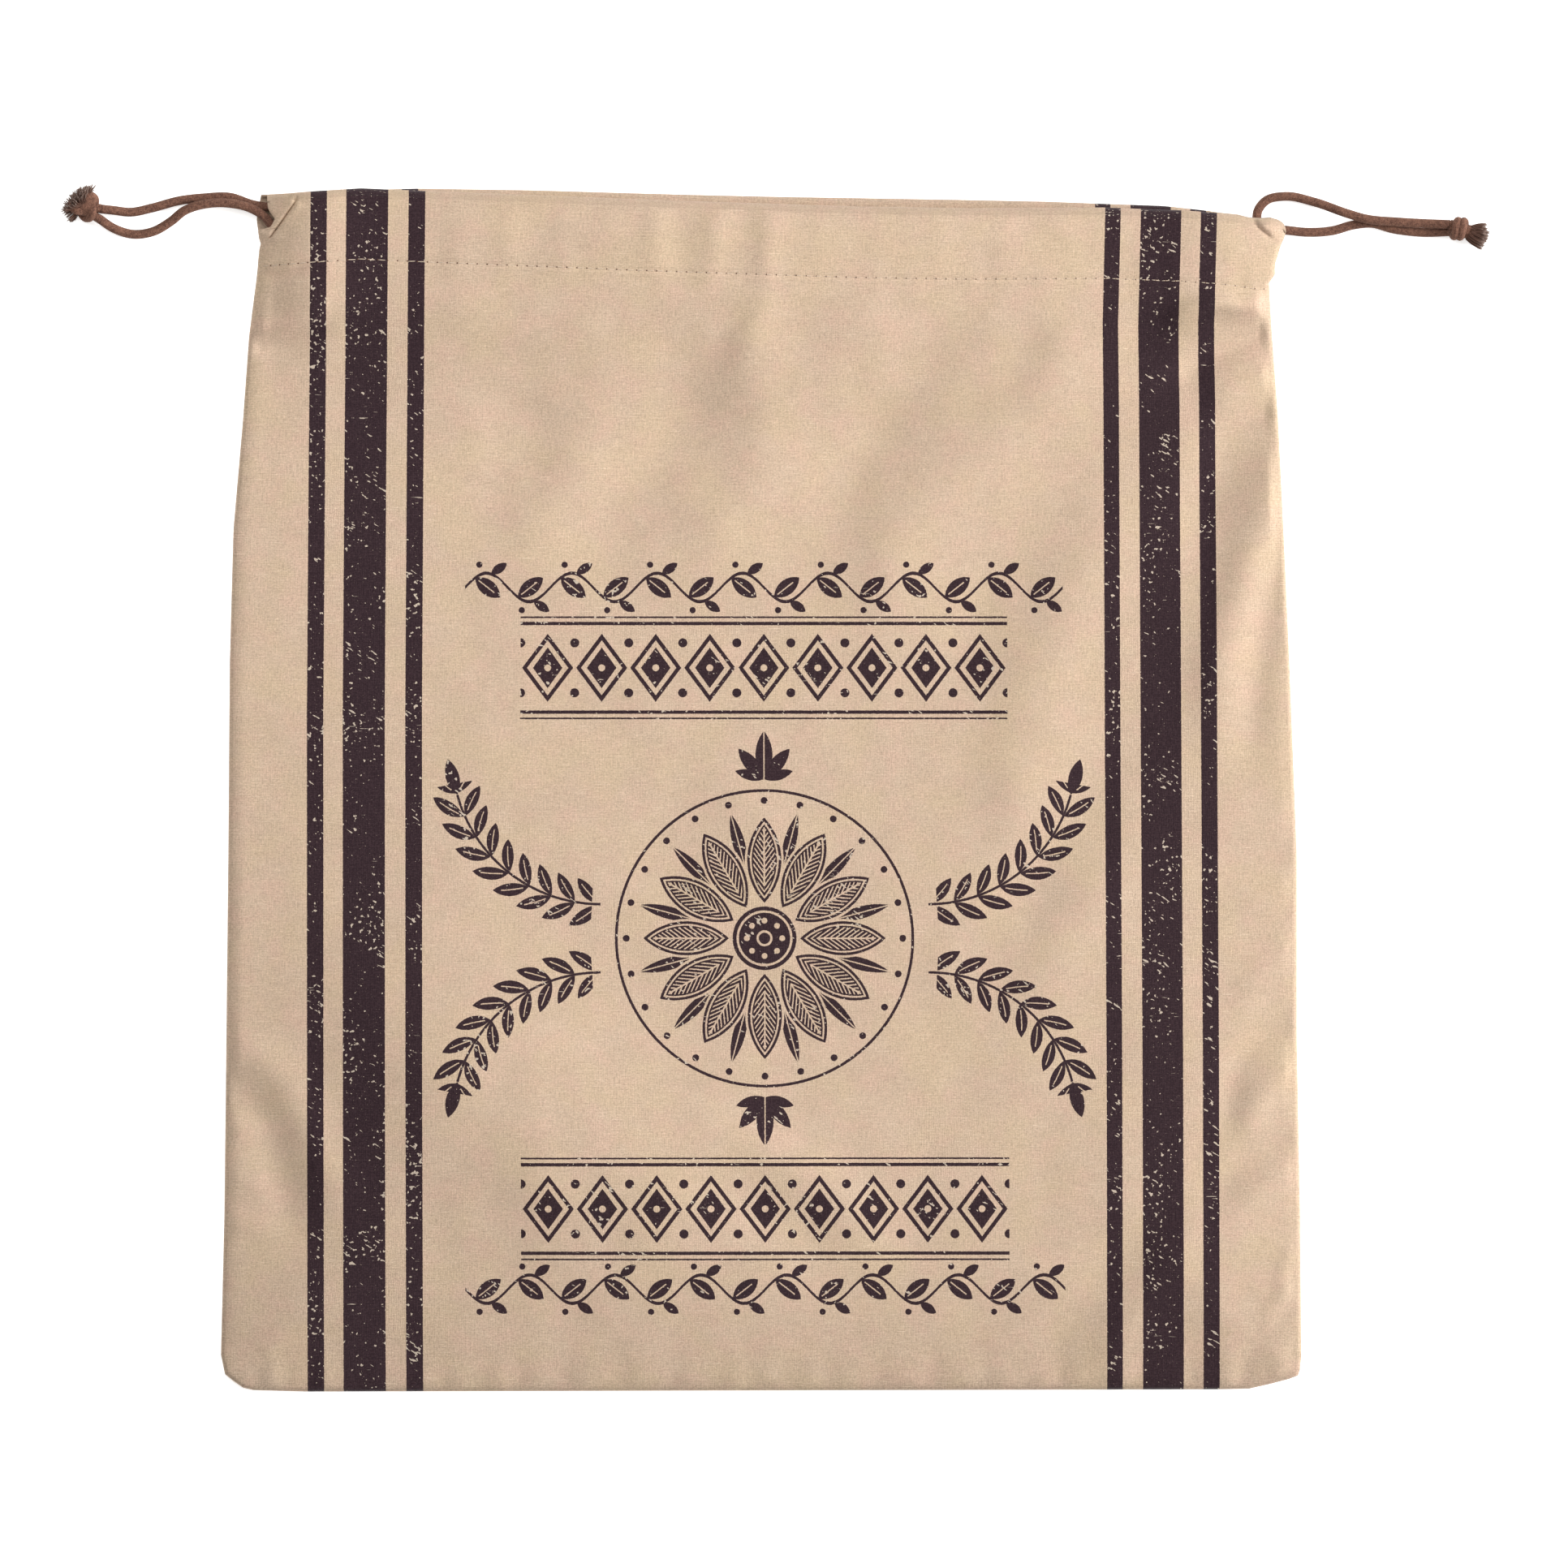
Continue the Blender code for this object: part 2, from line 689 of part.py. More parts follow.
def add_tuft(shape, tuft):
    """A bunch of frayed yarn as a tapered cone."""
    root, tip = Vector(tuft[:3]), Vector(tuft[3:6])
    heading = (tip - root).to_track_quat("Z", "Y").to_matrix().to_4x4()
    place = Matrix.Translation((root + tip) / 2) @ heading
    bmesh.ops.create_cone(
        shape,
        cap_ends=True,
        segments=8,
        radius1=tuft[6],
        radius2=tuft[7],
        depth=(tip - root).length,
        matrix=place,
    )


def knot(name, core, turns, tufts, collection, material):
    """A tied knot and its frayed ends, run together into one body."""
    shape = bmesh.new()
    add_core(shape, core)
    for turn in turns:
        add_turn(shape, turn)
    for tuft in tufts:
        add_tuft(shape, tuft)
    obj = mesh_object(name, shape, collection, material)
    joined = obj.modifiers.new("run together", "REMESH")
    joined.mode = "VOXEL"
    joined.voxel_size = KNOT_VOXEL
    fewer = obj.modifiers.new("fewer faces", "DECIMATE")
    fewer.ratio = KNOT_FACES_KEPT
    return obj


def build():
    clear_scene()
    bag = make_collection(BAG)
    cotton = make_material("natural_cotton", COTTON)
    brown = make_material("brown_cord", CORD_BROWN)
    front = Panel(SEWN_SIDES + FRONT_ENDS, FRONT_TOP, front_outer, 1)
    back = Panel(SEWN_SIDES + BACK_ENDS, BACK_TOP, back_outer, -1)
    cloth_panel("front_panel", front, bag, cotton)
    cloth_panel("back_panel", back, bag, cotton)
    cord("left_cord", LEFT_ROUTE, bag, brown)
    cord("right_cord", RIGHT_ROUTE, bag, brown)
    knot("left_knot", LEFT_KNOT_CORE, LEFT_KNOT_TURNS, LEFT_TUFTS, bag, brown)
    knot("right_knot", RIGHT_KNOT_CORE, RIGHT_KNOT_TURNS, RIGHT_TUFTS, bag, brown)


build()
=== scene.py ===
"""The look of the cotton bread bag: sewn and printed cloth, stitched casings and knotted cords.

Metres, +Z up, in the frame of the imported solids. The bag lies on its back with its mouth towards +Y.
"""

import math
from functools import partialmethod

import bpy
import numpy as np
from mathutils import Matrix, Vector


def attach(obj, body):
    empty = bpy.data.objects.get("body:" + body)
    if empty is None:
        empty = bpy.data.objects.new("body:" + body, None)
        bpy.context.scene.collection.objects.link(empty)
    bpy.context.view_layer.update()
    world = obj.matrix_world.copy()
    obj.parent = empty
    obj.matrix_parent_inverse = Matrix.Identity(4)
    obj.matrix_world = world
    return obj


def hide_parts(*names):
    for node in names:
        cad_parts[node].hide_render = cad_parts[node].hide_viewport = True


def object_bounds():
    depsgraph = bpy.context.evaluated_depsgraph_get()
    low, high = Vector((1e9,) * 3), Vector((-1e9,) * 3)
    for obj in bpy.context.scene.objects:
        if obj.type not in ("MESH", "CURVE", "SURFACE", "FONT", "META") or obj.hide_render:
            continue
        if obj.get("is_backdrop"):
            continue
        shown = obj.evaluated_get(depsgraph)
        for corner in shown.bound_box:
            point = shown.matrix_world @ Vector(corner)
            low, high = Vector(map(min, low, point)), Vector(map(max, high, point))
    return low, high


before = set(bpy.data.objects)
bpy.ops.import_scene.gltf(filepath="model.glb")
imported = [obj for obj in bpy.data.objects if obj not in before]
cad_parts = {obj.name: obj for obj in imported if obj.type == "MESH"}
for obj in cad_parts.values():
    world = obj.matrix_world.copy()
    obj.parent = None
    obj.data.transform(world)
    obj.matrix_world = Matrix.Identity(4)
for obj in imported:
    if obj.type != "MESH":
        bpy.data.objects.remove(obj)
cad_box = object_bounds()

ROOT = "root"
MM = 0.001

# The camera looks straight down on a square picture
PICTURE_WIDTH = 0.5520
PICTURE_MIDDLE = (0.0081, 0.0021, 0.0080)
CAMERA_HEIGHT = 6.0
CLIP_END = 40
SENSOR = 36.0
FLOOR_HALF = 3.0

# Lamps. Columns: name, x, y, z, size, power
LAMPS = (
    ("window_side", 6.38, 0.45, 2.85, 3.6, 768),
    ("overhead_fill", -0.35, 0.72, 1.2, 1.0, 10.4),
)
SKY_STRENGTH = 0.366
FLOOR_GLOW = 0.62

# Cords
CORD_RADIUS = 0.0016
CORD_RING_STEP = 0.0011
CORD_SIDES = 14
ROUTE_PARTS = 40

# Cloth and its casings
CLOTH = 0.0006
CLOTH_WIDTH = 0.38
CASING_REACH = 0.0025
STITCH_LINE = 0.0250
HEM_END = 0.0275
CASING_FULL = 0.0100
STITCHED_DIP = 0.0008
INNER_LAYER_GAP = 0.0008
INNER_LAYER_FREE = 0.136
INNER_LAYER_END = 0.146
CASING_SLOPE = 0.065
STITCH_GROOVE = (-0.00026, STITCH_LINE, 0.0009)
HEM_LEDGE = 0.00012
HEM_LEDGE_WIDTH = 0.0012
BACK_STRAND = 0.0029
FOLD_ANGLES = (90, 68, 45, 22, 0, -22, -45, -68, -90)
INNER_ROWS = (0.0060, 0.0080, CASING_FULL, 0.0180, 0.0215, STITCH_LINE, HEM_END)
PLACING_ROUNDS = 8
PLACING_START = 0.18

# Seams and the cloth's rise from them
SEAM_HEIGHT = 0.0019
SEAM_GAP = 0.0002
ROLL = 0.0015
LEFT_SEAM_TOP = 0.1974
RIGHT_SEAM_TOP = 0.180
LEFT_SEAM_ROWS = 7
LEFT_OPENS_OVER = 0.004
RIGHT_OPENS_OVER = 0.012
EDGE_BLEND = 0.010
FREE_EDGE_ROLL = 0.0018
FREE_EDGE_DROP = 0.0010
SHOULDER_WIDTH = 0.125
SHOULDER_LESS_LOWER = 0.035
SHOULDER_LESS_AT_CORNER = 0.015
SHOULDER_LESS_AT_BOTTOM = 0.030
EDGE_RISE_WIDTH = 0.006
EDGE_SHARE = 0.25
CORNER_SLOWS = 0.2
BOTTOM_SLOWS = 0.15
RIGHT_SLOWS = 0.1
RIGHT_START = 0.10
RIGHT_BLEND = 0.06
RIGHT_MIDDLE = -0.12
RIGHT_HALF_LENGTH = 0.12
FULL_SHARE_FROM = 0.150
FULL_SHARE_OVER = 0.025
FIELD_HEIGHT = 0.0066
LOWER_RISE = 0.0016
LOWER_TOP = 0.060
LOWER_LENGTH = 0.160
CROWN_RISE = 0.0018

# Soft places on the cloth. Columns: x and y of the middle, half width, half height
LOWER_LEFT = (-0.16, -0.19, 0.10, 0.09)
LEFT_CORNER = (-0.17, -0.19, 0.06, 0.06)
ALONG_BOTTOM = (-0.04, -0.21, 0.16, 0.05)
CROWN = (0.0, -0.060, 0.170, 0.170)

# Uneven waves. Columns: rate, sway, the sway's rate and start, then share, rate and start of a second wave
HEM_WAVE = (520, 1.3, 97, 0.0, 0.6, 910, 2.0)
CASING_WAVE = (430, 2.1, 71, 1.0, 0.5, 700, 0.7)
BOTTOM_WAVE = (400, 1.5, 61, 0.0, 0.5, 690, 1.0)

# Gathers of the cloth, as height, place of the middle and width, and how they start and fade
HEM_GATHER = (0.00008, STITCH_LINE, 0.008)
CASING_GATHER = 0.00008
CASING_GATHER_LEAST = 0.35
CASING_GATHER_MOST = (1.0, -0.012, 0.05)
CASING_GATHER_END = 0.040
CASING_GATHER_START = 0.006
CASING_GATHER_FADE = 0.016
BOTTOM_GATHER = (0.00030, 0.0, 0.012)
BOTTOM_GATHER_START = 0.003

# Painted shade: how much darker the cloth is painted along its edges, at the bottom and in the lower left
# corner
TOP_PAINTED_SHADE_WIDTH = 0.0022
SEAM_PAINTED_SHADE_WIDTH = 0.0026
SEAM_PAINTED_SHADE_SHARE = 0.6
EDGE_PAINTED_SHADE = 0.17
BOTTOM_PAINTED_SHADE = 0.07
BOTTOM_PAINTED_SHADE_TOP = -0.160
BOTTOM_PAINTED_SHADE_END = -0.208
CORNER_PAINTED_SHADE = 0.06
CORNER_PAINTED_SHADE_ACROSS = (-0.060, -0.140)
CORNER_PAINTED_SHADE_UP = (-0.110, -0.180)

# The left cord's route from its knot through the front casing, round and back through the back casing
LEFT_ROUTE = (
    (-0.2330, 0.2011, 0.0038),
    (-0.2279, 0.1978, 0.0023),
    (-0.2208, 0.1958, 0.0017),
    (-0.2142, 0.1968, 0.0017),
    (-0.2079, 0.2004, 0.0019),
    (-0.2033, 0.2040, 0.0033),
    (-0.1962, 0.2063, 0.0046),
    (-0.1871, 0.2066, 0.0048),
    (-0.1796, 0.2048, 0.0048),
    (-0.1742, 0.2013, 0.0048),
    (-0.1721, 0.1987, 0.0051),
    (-0.1680, 0.1971, 0.0068),
    (-0.1630, 0.1973, 0.0088),
    (-0.1570, 0.1982, 0.0101),
    (-0.1500, 0.1990, 0.0099),
    (-0.1400, 0.1994, 0.0094),
    (-0.0950, 0.1972, 0.0113),
    (-0.0500, 0.1944, 0.0131),
    (0.0000, 0.1916, 0.0136),
    (0.0500, 0.1893, 0.0131),
    (0.0950, 0.1881, 0.0113),
    (0.1400, 0.1868, 0.0094),
    (0.1515, 0.1858, 0.0097),
    (0.1565, 0.1870, 0.0091),
    (0.1595, 0.1925, 0.0063),
    (0.1565, 0.1981, 0.0035),
    (0.1515, 0.1993, 0.0029),
    (0.1000, 0.2020, 0.0029),
    (0.0000, 0.2042, 0.0029),
    (-0.1000, 0.2067, 0.0029),
    (-0.1650, 0.2061, 0.0029),
    (-0.1733, 0.2054, 0.0029),
    (-0.1785, 0.2061, 0.0029),
    (-0.1871, 0.2089, 0.0018),
    (-0.1962, 0.2087, 0.0017),
    (-0.2053, 0.2076, 0.0017),
    (-0.2142, 0.2052, 0.0017),
    (-0.2223, 0.2036, 0.0021),
    (-0.2280, 0.2042, 0.0032),
    (-0.2328, 0.2047, 0.0040),
)

# The right cord's route, the other way round
RIGHT_ROUTE = (
    (0.2424, 0.1967, 0.0026),
    (0.2332, 0.1965, 0.0017),
    (0.2224, 0.1978, 0.0017),
    (0.2152, 0.1997, 0.0017),
    (0.2087, 0.1991, 0.0017),
    (0.2015, 0.1971, 0.0019),
    (0.1924, 0.1965, 0.0028),
    (0.1847, 0.1972, 0.0043),
    (0.1790, 0.1975, 0.0060),
    (0.1650, 0.1980, 0.0087),
    (0.1570, 0.1984, 0.0095),
    (0.1500, 0.1989, 0.0097),
    (0.1400, 0.1995, 0.0094),
    (0.0950, 0.2000, 0.0113),
    (0.0500, 0.2001, 0.0131),
    (0.0000, 0.2014, 0.0136),
    (-0.0500, 0.2032, 0.0131),
    (-0.0950, 0.2050, 0.0113),
    (-0.1400, 0.2065, 0.0094),
    (-0.1515, 0.2060, 0.0099),
    (-0.1565, 0.2048, 0.0091),
    (-0.1594, 0.1994, 0.0063),
    (-0.1565, 0.1940, 0.0035),
    (-0.1515, 0.1928, 0.0029),
    (-0.1400, 0.1933, 0.0029),
    (-0.0950, 0.1936, 0.0029),
    (0.0000, 0.1932, 0.0029),
    (0.1500, 0.1914, 0.0029),
    (0.1665, 0.1917, 0.0029),
    (0.1720, 0.1950, 0.0029),
    (0.1743, 0.1990, 0.0029),
    (0.1752, 0.2044, 0.0027),
    (0.1780, 0.2077, 0.0021),
    (0.1847, 0.2092, 0.0018),
    (0.1949, 0.2072, 0.0022),
    (0.2061, 0.2032, 0.0047),
    (0.2124, 0.2013, 0.0052),
    (0.2244, 0.2001, 0.0045),
    (0.2332, 0.1996, 0.0041),
    (0.2424, 0.1992, 0.0052),
)

# Outline of the sewn cloth. Columns: y, x of the left edge, x of the right edge
SEWN_SIDES = (
    (-0.1990, -0.1903, 0.1904),
    (-0.1500, -0.1891, 0.1900),
    (-0.0870, -0.1884, 0.1888),
    (-0.0220, -0.1877, 0.1888),
    (0.0450, -0.1872, 0.1862),
    (0.0920, -0.1859, 0.1841),
    (0.1310, -0.1825, 0.1822),
    (0.1600, -0.1804, 0.1801),
    (0.1785, -0.1780, 0.1789),
)
FRONT_ENDS = (
    (0.1816, -0.1775, 0.1810),
    (0.1833, -0.1774, 0.1809),
    (0.1856, -0.1773, 0.1811),
    (0.1885, -0.1770, 0.1821),
    (0.1905, -0.1768, 0.1826),
    (0.1925, -0.1763, 0.1834),
    (0.1940, -0.1768, 0.1841),
    (0.1965, -0.1771, 0.1848),
    (0.1974, -0.1771, 0.1848),
    (0.1980, -0.1731, 0.1847),
    (0.1990, -0.1723, 0.1843),
    (0.2011, -0.1712, 0.1834),
    (0.2031, -0.1728, 0.1830),
    (0.2050, -0.1737, 0.1830),
    (0.2090, -0.1740, 0.1830),
)

# The same ends without the slit and the flap, for the cloth farther in
SOFT_ENDS = (
    (0.1816, -0.1775, 0.1810),
    (0.1950, -0.1775, 0.1835),
    (0.2090, -0.1765, 0.1835),
)
BACK_ENDS = (
    (0.1858, -0.1772, 0.1745),
    (0.1926, -0.1763, 0.1692),
    (0.1964, -0.1772, 0.1690),
    (0.2005, -0.1777, 0.1712),
    (0.2015, -0.1778, 0.1712),
    (0.2097, -0.1762, 0.1712),
)

# Columns: x, y of the edge
BOTTOM_EDGE = (
    (-0.1903, -0.1990),
    (-0.1889, -0.2059),
    (-0.1859, -0.2083),
    (-0.1826, -0.2106),
    (-0.1790, -0.2115),
    (-0.1600, -0.2120),
    (0.1615, -0.2112),
    (0.1720, -0.2110),
    (0.1795, -0.2093),
    (0.1860, -0.2076),
    (0.1892, -0.2064),
    (0.1899, -0.2045),
    (0.1904, -0.1990),
)
FRONT_TOP = (
    (-0.1762, 0.2094),
    (-0.1580, 0.2107),
    (-0.1408, 0.2118),
    (-0.1183, 0.2108),
    (-0.0799, 0.2093),
    (-0.0413, 0.2077),
    (-0.0119, 0.2067),
    (0.0347, 0.2052),
    (0.0712, 0.2047),
    (0.1207, 0.2050),
    (0.1481, 0.2040),
    (0.1612, 0.2031),
    (0.1690, 0.2022),
    (0.1730, 0.2014),
    (0.1766, 0.2013),
    (0.1792, 0.2017),
    (0.1821, 0.2009),
    (0.1838, 0.1999),
    (0.1847, 0.1986),
)
BACK_TOP = (
    (-0.1762, 0.2097),
    (-0.1500, 0.2112),
    (-0.1208, 0.2119),
    (-0.0799, 0.2113),
    (-0.0496, 0.2104),
    (-0.0245, 0.2097),
    (0.0064, 0.2090),
    (0.0667, 0.2080),
    (0.1010, 0.2073),
    (0.1167, 0.2067),
    (0.1420, 0.2058),
    (0.1566, 0.2042),
    (0.1620, 0.2034),
    (0.1680, 0.2028),
    (0.1712, 0.2019),
)

# Columns: x, height of the cords' middles in the front casing
FRONT_STRANDS = (
    (-0.1765, 0.0044),
    (-0.1725, 0.0049),
    (-0.1690, 0.0063),
    (-0.1630, 0.0088),
    (-0.1570, 0.0101),
    (-0.1500, 0.0099),
    (-0.1400, 0.0094),
    (-0.0950, 0.0113),
    (-0.0500, 0.0131),
    (0.0000, 0.0136),
    (0.0500, 0.0131),
    (0.0950, 0.0113),
    (0.1400, 0.0094),
    (0.1500, 0.0097),
    (0.1570, 0.0095),
    (0.1650, 0.0087),
    (0.1720, 0.0076),
    (0.1790, 0.0063),
    (0.1848, 0.0047),
)

# Soft folds of the front, in millimetres. Columns: half width, rise, then the points of its line
FOLDS = (
    (12, 1.6, (4, 181), (-4, 158), (1, 135), (-5, 110), (-18, 92), (-34, 78)),
    (4.5, 0.5, (7, 175), (-2, 164), (-7, 152), (-9, 141)),
    (4.5, -0.4, (-4, 175), (-11, 164), (-15, 152)),
    (12, -1.5, (-16, 164), (-25, 141), (-35, 118), (-48, 101), (-68, 81)),
    (12, 0.9, (-54, 158), (-64, 127), (-69, 110), (-81, 94), (-96, 81)),
    (12, -0.8, (-79, 152), (-87, 118), (-95, 98), (-108, 84)),
    (8, 0.3, (-108, 152), (-101, 132), (-108, 107)),
    (7, -0.3, (-112, 178), (-91, 178), (-51, 178)),
    (7, 0.3, (-112, 164), (-91, 162), (-51, 164)),
    (10, 0.8, (46, 162), (29, 152), (14, 141), (6, 124)),
    (12, -1.8, (72, 174), (59, 152), (48, 137), (38, 121), (28, 104), (22, 81)),
    (13, 2.1, (118, 174), (108, 145), (92, 130), (74, 115), (55, 101), (45, 81), (39, 52)),
    (6, 0.5, (108, 167), (102, 150), (93, 138)),
    (6, -0.4, (99, 167), (93, 152), (84, 141)),
    (14, -1.2, (116, 118), (98, 95), (84, 78), (75, 58), (69, 27)),
    (14, 2.1, (125, 107), (112, 72), (101, 50), (93, 21), (85, -19)),
    (12, -1.2, (132, 30), (118, 1), (108, -13), (96, -32), (89, -56)),
    (11, 1.1, (132, -16), (115, -39), (104, -53), (93, -82)),
    (8, -0.4, (129, -79), (118, -93), (106, -110), (101, -133)),
    (4, 3.2, (141, 164), (161, 171), (172, 170), (189, 175)),
    (5.5, -3.2, (141, 141), (161, 154), (172, 160), (189, 167)),
    (4, 1.5, (155, 135), (169, 142), (189, 150)),
    (4, -1.3, (155, 121), (169, 129), (189, 137)),
    (9, -1.9, (152, 84), (161, 112), (181, 130)),
    (9, 2.6, (192, 130), (180, 101), (171, 78), (163, 52), (156, 15)),
    (6, -1.1, (189, 107), (179, 67), (174, 38), (172, 4)),
    (6, 0.5, (152, -13), (172, -12), (192, -5)),
    (6, -0.5, (155, -25), (175, -25), (192, -16)),
    (5, 0.5, (166, -42), (178, -38), (192, -30)),
    (5, -0.5, (166, -50), (178, -46), (192, -40)),
    (5, 0.6, (166, -79), (178, -62), (192, -50)),
    (5, -1, (162, -122), (169, -95), (179, -85), (192, -78)),
    (5, 1.2, (169, -122), (178, -105), (192, -93)),
    (5, -0.8, (155, -148), (172, -129), (192, -119)),
    (5, 0.8, (161, -153), (178, -139), (192, -130)),
    (3, 0.5, (184, -182), (184, -168), (192, -159)),
    (3, 0.5, (176, -193), (182, -180), (192, -172)),
    (4, -0.5, (168, -208), (175, -193), (192, -179)),
    (8, -0.8, (144, -145), (125, -168), (111, -182), (104, -196), (102, -215)),
    (8, 1, (158, -145), (141, -170), (128, -188), (119, -215)),
    (2.6, 1.6, (-188, 165), (-171, 164), (-151, 171)),
    (2.6, -1.4, (-188, 157), (-171, 156), (-151, 162)),
    (1.6, 0.5, (-181, 186), (-169, 185), (-158, 189)),
    (1.6, -0.5, (-181, 182), (-169, 181), (-158, 185)),
    (8, 1.3, (-196, -88), (-179, -93), (-166, -106), (-156, -128), (-146, -153)),
    (7, -1.2, (-196, -106), (-182, -106), (-174, -119), (-169, -136), (-164, -159)),
    (4, 0.4, (-196, -122), (-182, -119), (-172, -122)),
    (4, 0.4, (-196, -139), (-182, -137), (-172, -140)),
    (4, 0.4, (-196, -155), (-182, -153), (-172, -156)),
    (40, 5.8, (-136, -59), (-108, -99), (-74, -128), (-28, -145), (18, -150)),
    (9, -0.3, (-96, -99), (-95, -136), (-89, -176)),
    (9, 0.3, (-81, -99), (-77, -136), (-71, -176)),
    (9, -0.8, (-34, -130), (-2, -148), (15, -159), (29, -179)),
    (9, 1, (-25, -113), (9, -132), (29, -146), (45, -170)),
    (3, 0.3, (-119, -100), (-106, -100), (-88, -105)),
    (12, 0.5, (-11, 44), (-9, 21), (-14, -8)),
    (12, -0.4, (-22, -8), (-39, -33), (-42, -53)),
    (4, 0.3, (-106, 210), (-107, 180)),
    (3.5, 0.3, (-88, 210), (-90, 180)),
    (3.5, 0.3, (-68, 210), (-70, 180)),
    (4, 0.8, (-38, 210), (-38, 178)),
    (4.5, 1.1, (-15, 210), (-18, 175)),
    (4.5, 0.9, (4, 210), (3, 177)),
    (3.5, 0.3, (21, 210), (20, 180)),
    (3.5, 0.3, (43, 210), (41, 180)),
    (4, 0.3, (63, 210), (61, 180)),
    (3.5, 0.3, (87, 208), (84, 180)),
    (4, 0.3, (104, 208), (110, 178)),
)
MOUND_STEP = 0.5
FEWEST_MOUNDS = 6
FOLD_FADE = 0.005
TOP_FADE = 0.004
FOLD_TIP = 0.08
FOLD_TIP_FADE = 0.35

# Folds in the casing's two ends. Columns: x, y
LEFT_CREASE = ((-0.1738, 0.1934), (-0.1691, 0.1996), (-0.1639, 0.2069), (-0.1629, 0.2084))
LEFT_TUCK = ((-0.1680, 0.2094), (-0.1658, 0.2086), (-0.1634, 0.2077))
RIGHT_CREASE = ((0.1731, 0.2010), (0.1746, 0.1991), (0.1763, 0.1971), (0.1786, 0.1954), (0.1808, 0.1932))

# Shapes across those folds. Columns: height, distance of the middle from the fold's line, width
LEFT_LIP = (0.0007, 0.0012, 0.0009)
LEFT_GROOVE = (-0.0013, 0.0001, 0.00048)
LEFT_SWELL = (0.0004, -0.0015, 0.0014)
TUCK_GROOVE = (-0.0006, 0.0, 0.0005)
RIGHT_PUFF = (0.0011, 0.0020, 0.0042)
RIGHT_GROOVE = (-0.0006, -0.0002, 0.0006)
LEFT_OVERHANG = (0.00045, 0.0006, 0.0005)
RIGHT_OVERHANG = (0.00035, 0.0007, 0.0006)

# How those shapes start and fade along the folds, and which way each leans, across and up
PUFF_START = 0.0016
LEFT_FADES = (0.12, 0.12)
RIGHT_FADES = (0.10, 0.35)
TUCK_FADE = 0.3
LEFT_LEANS = (0.8, -0.6)
RIGHT_LEANS = (-0.7, -0.7)

# Stripes printed on the cloth. Columns: middle and width across the flat cloth
STRIPES = (
    (-0.15700, 0.0058),
    (-0.13990, 0.0148),
    (-0.12235, 0.0059),
    (0.12325, 0.0055),
    (0.14025, 0.0143),
    (0.15715, 0.0057),
)
STRIPE_SIDE = 0.140

# How far the stripes drift across as the cloth lies. Columns: y, drift
LEFT_DRIFT = ((-0.205, 0.0003), (0.027, 0.0000), (0.120, 0.0006), (0.208, 0.0014))
RIGHT_DRIFT = ((-0.205, 0.0015), (-0.093, 0.0012), (0.135, 0.0000), (0.164, -0.0004), (0.206, 0.0006))
BACK_DRIFT = (-0.0026, -0.0036)

# Stitches of the hem
STITCH_PITCH = 0.0035
STITCH_LENGTH = 0.0031
THREAD_WIDTH = 0.00034
HOLE_WIDTH = 0.00062

# Finishes: linear red, green, blue and opacity
COTTON_LIGHT = (0.535, 0.400, 0.294, 1)
COTTON_DARK = (0.505, 0.374, 0.270, 1)
COTTON_PINK = (0.560, 0.382, 0.290, 1)
COTTON_YELLOW = (0.530, 0.402, 0.268, 1)
SLUB_PALE = (0.630, 0.500, 0.375, 1)
INK_DARK = (0.024, 0.0115, 0.0150, 1)
INK_FADED = (0.044, 0.024, 0.028, 1)
WORN_SPECK = (0.500, 0.455, 0.390, 1)
CORD_BROWN = (0.230, 0.114, 0.076, 1)
CORD_DARK = (0.076, 0.036, 0.027, 1)
YARN_BROWN = (0.105, 0.054, 0.039, 1)
YARN_GREY = (0.215, 0.155, 0.130, 1)
THREAD_TAN = (0.500, 0.400, 0.310, 1)
# Painted shade: the dark inside the needle holes, put on small dark beads between the stitches
HOLE_PAINTED_SHADE = (0.110, 0.050, 0.028, 1)
FLOOR_WHITE = (0.960, 0.960, 0.945, 1)

# How far past the side stripes the drift goes on, as least and most share of the way across
DRIFT_SHARES = (-0.2, 1.2)

# Rows of stitches, loose fibres, wound loops and frayed yarns
STITCH_TILT = (0.03, 0.05, 0.09)
ROW_START = 0.0030
ROW_END = 0.0020
ROW_STEP = 0.0008
FIBRE_DENSITY = 1300000.0
FIBRE_TILT = (1.1, 1.1, 3.1)
WOUND_INWARD = 0.55
WOUND_END = 0.12
LOWEST_YARN = 0.1 * CORD_RADIUS
FLATTENED = 0.15
LEAN_CHANCE = 0.25
SWAY_CHANCE = 0.35
LENGTH_CHANCE = (0.72, 1.08)
STITCH_BALL = {"Segments": 8, "Rings": 6, "Radius": 0.5}
STITCH_LIFT = 0.00002
BACK_STITCH_LIFT = -0.00022
HOLE_LIFT = -0.00009
KNOT_SIDES = 12
LEFT_LOOP_RADIUS = 0.00158
RIGHT_WRAP_RADIUS = 0.00165

# How matt and soft the finishes are
FLOOR_ROUGHNESS = 0.9
HOLE_ROUGHNESS = 0.95
YARN_ROUGHNESS = 0.9
YARN_SPECULAR = 0.15
COTTON_ROUGHNESS = 0.92
INK_SMOOTHS = 0.14
COTTON_SPECULAR = 0.12
COTTON_SHEEN = 0.05
CORD_SHEEN = 0.12
CORD_SHEEN_TINT = (0.62, 0.44, 0.34, 1)
SHEEN_ROUGHNESS = 0.5


# Camera, light and floor
def place_camera():
    lens = bpy.data.cameras.new("overhead")
    lens.sensor_width = SENSOR
    lens.lens = SENSOR * CAMERA_HEIGHT / PICTURE_WIDTH
    lens.clip_end = CLIP_END
    camera = bpy.data.objects.new("overhead", lens)
    x, y, z = PICTURE_MIDDLE
    camera.location = (x, y, z + CAMERA_HEIGHT)
    bpy.context.scene.collection.objects.link(camera)
    bpy.context.scene.camera = camera


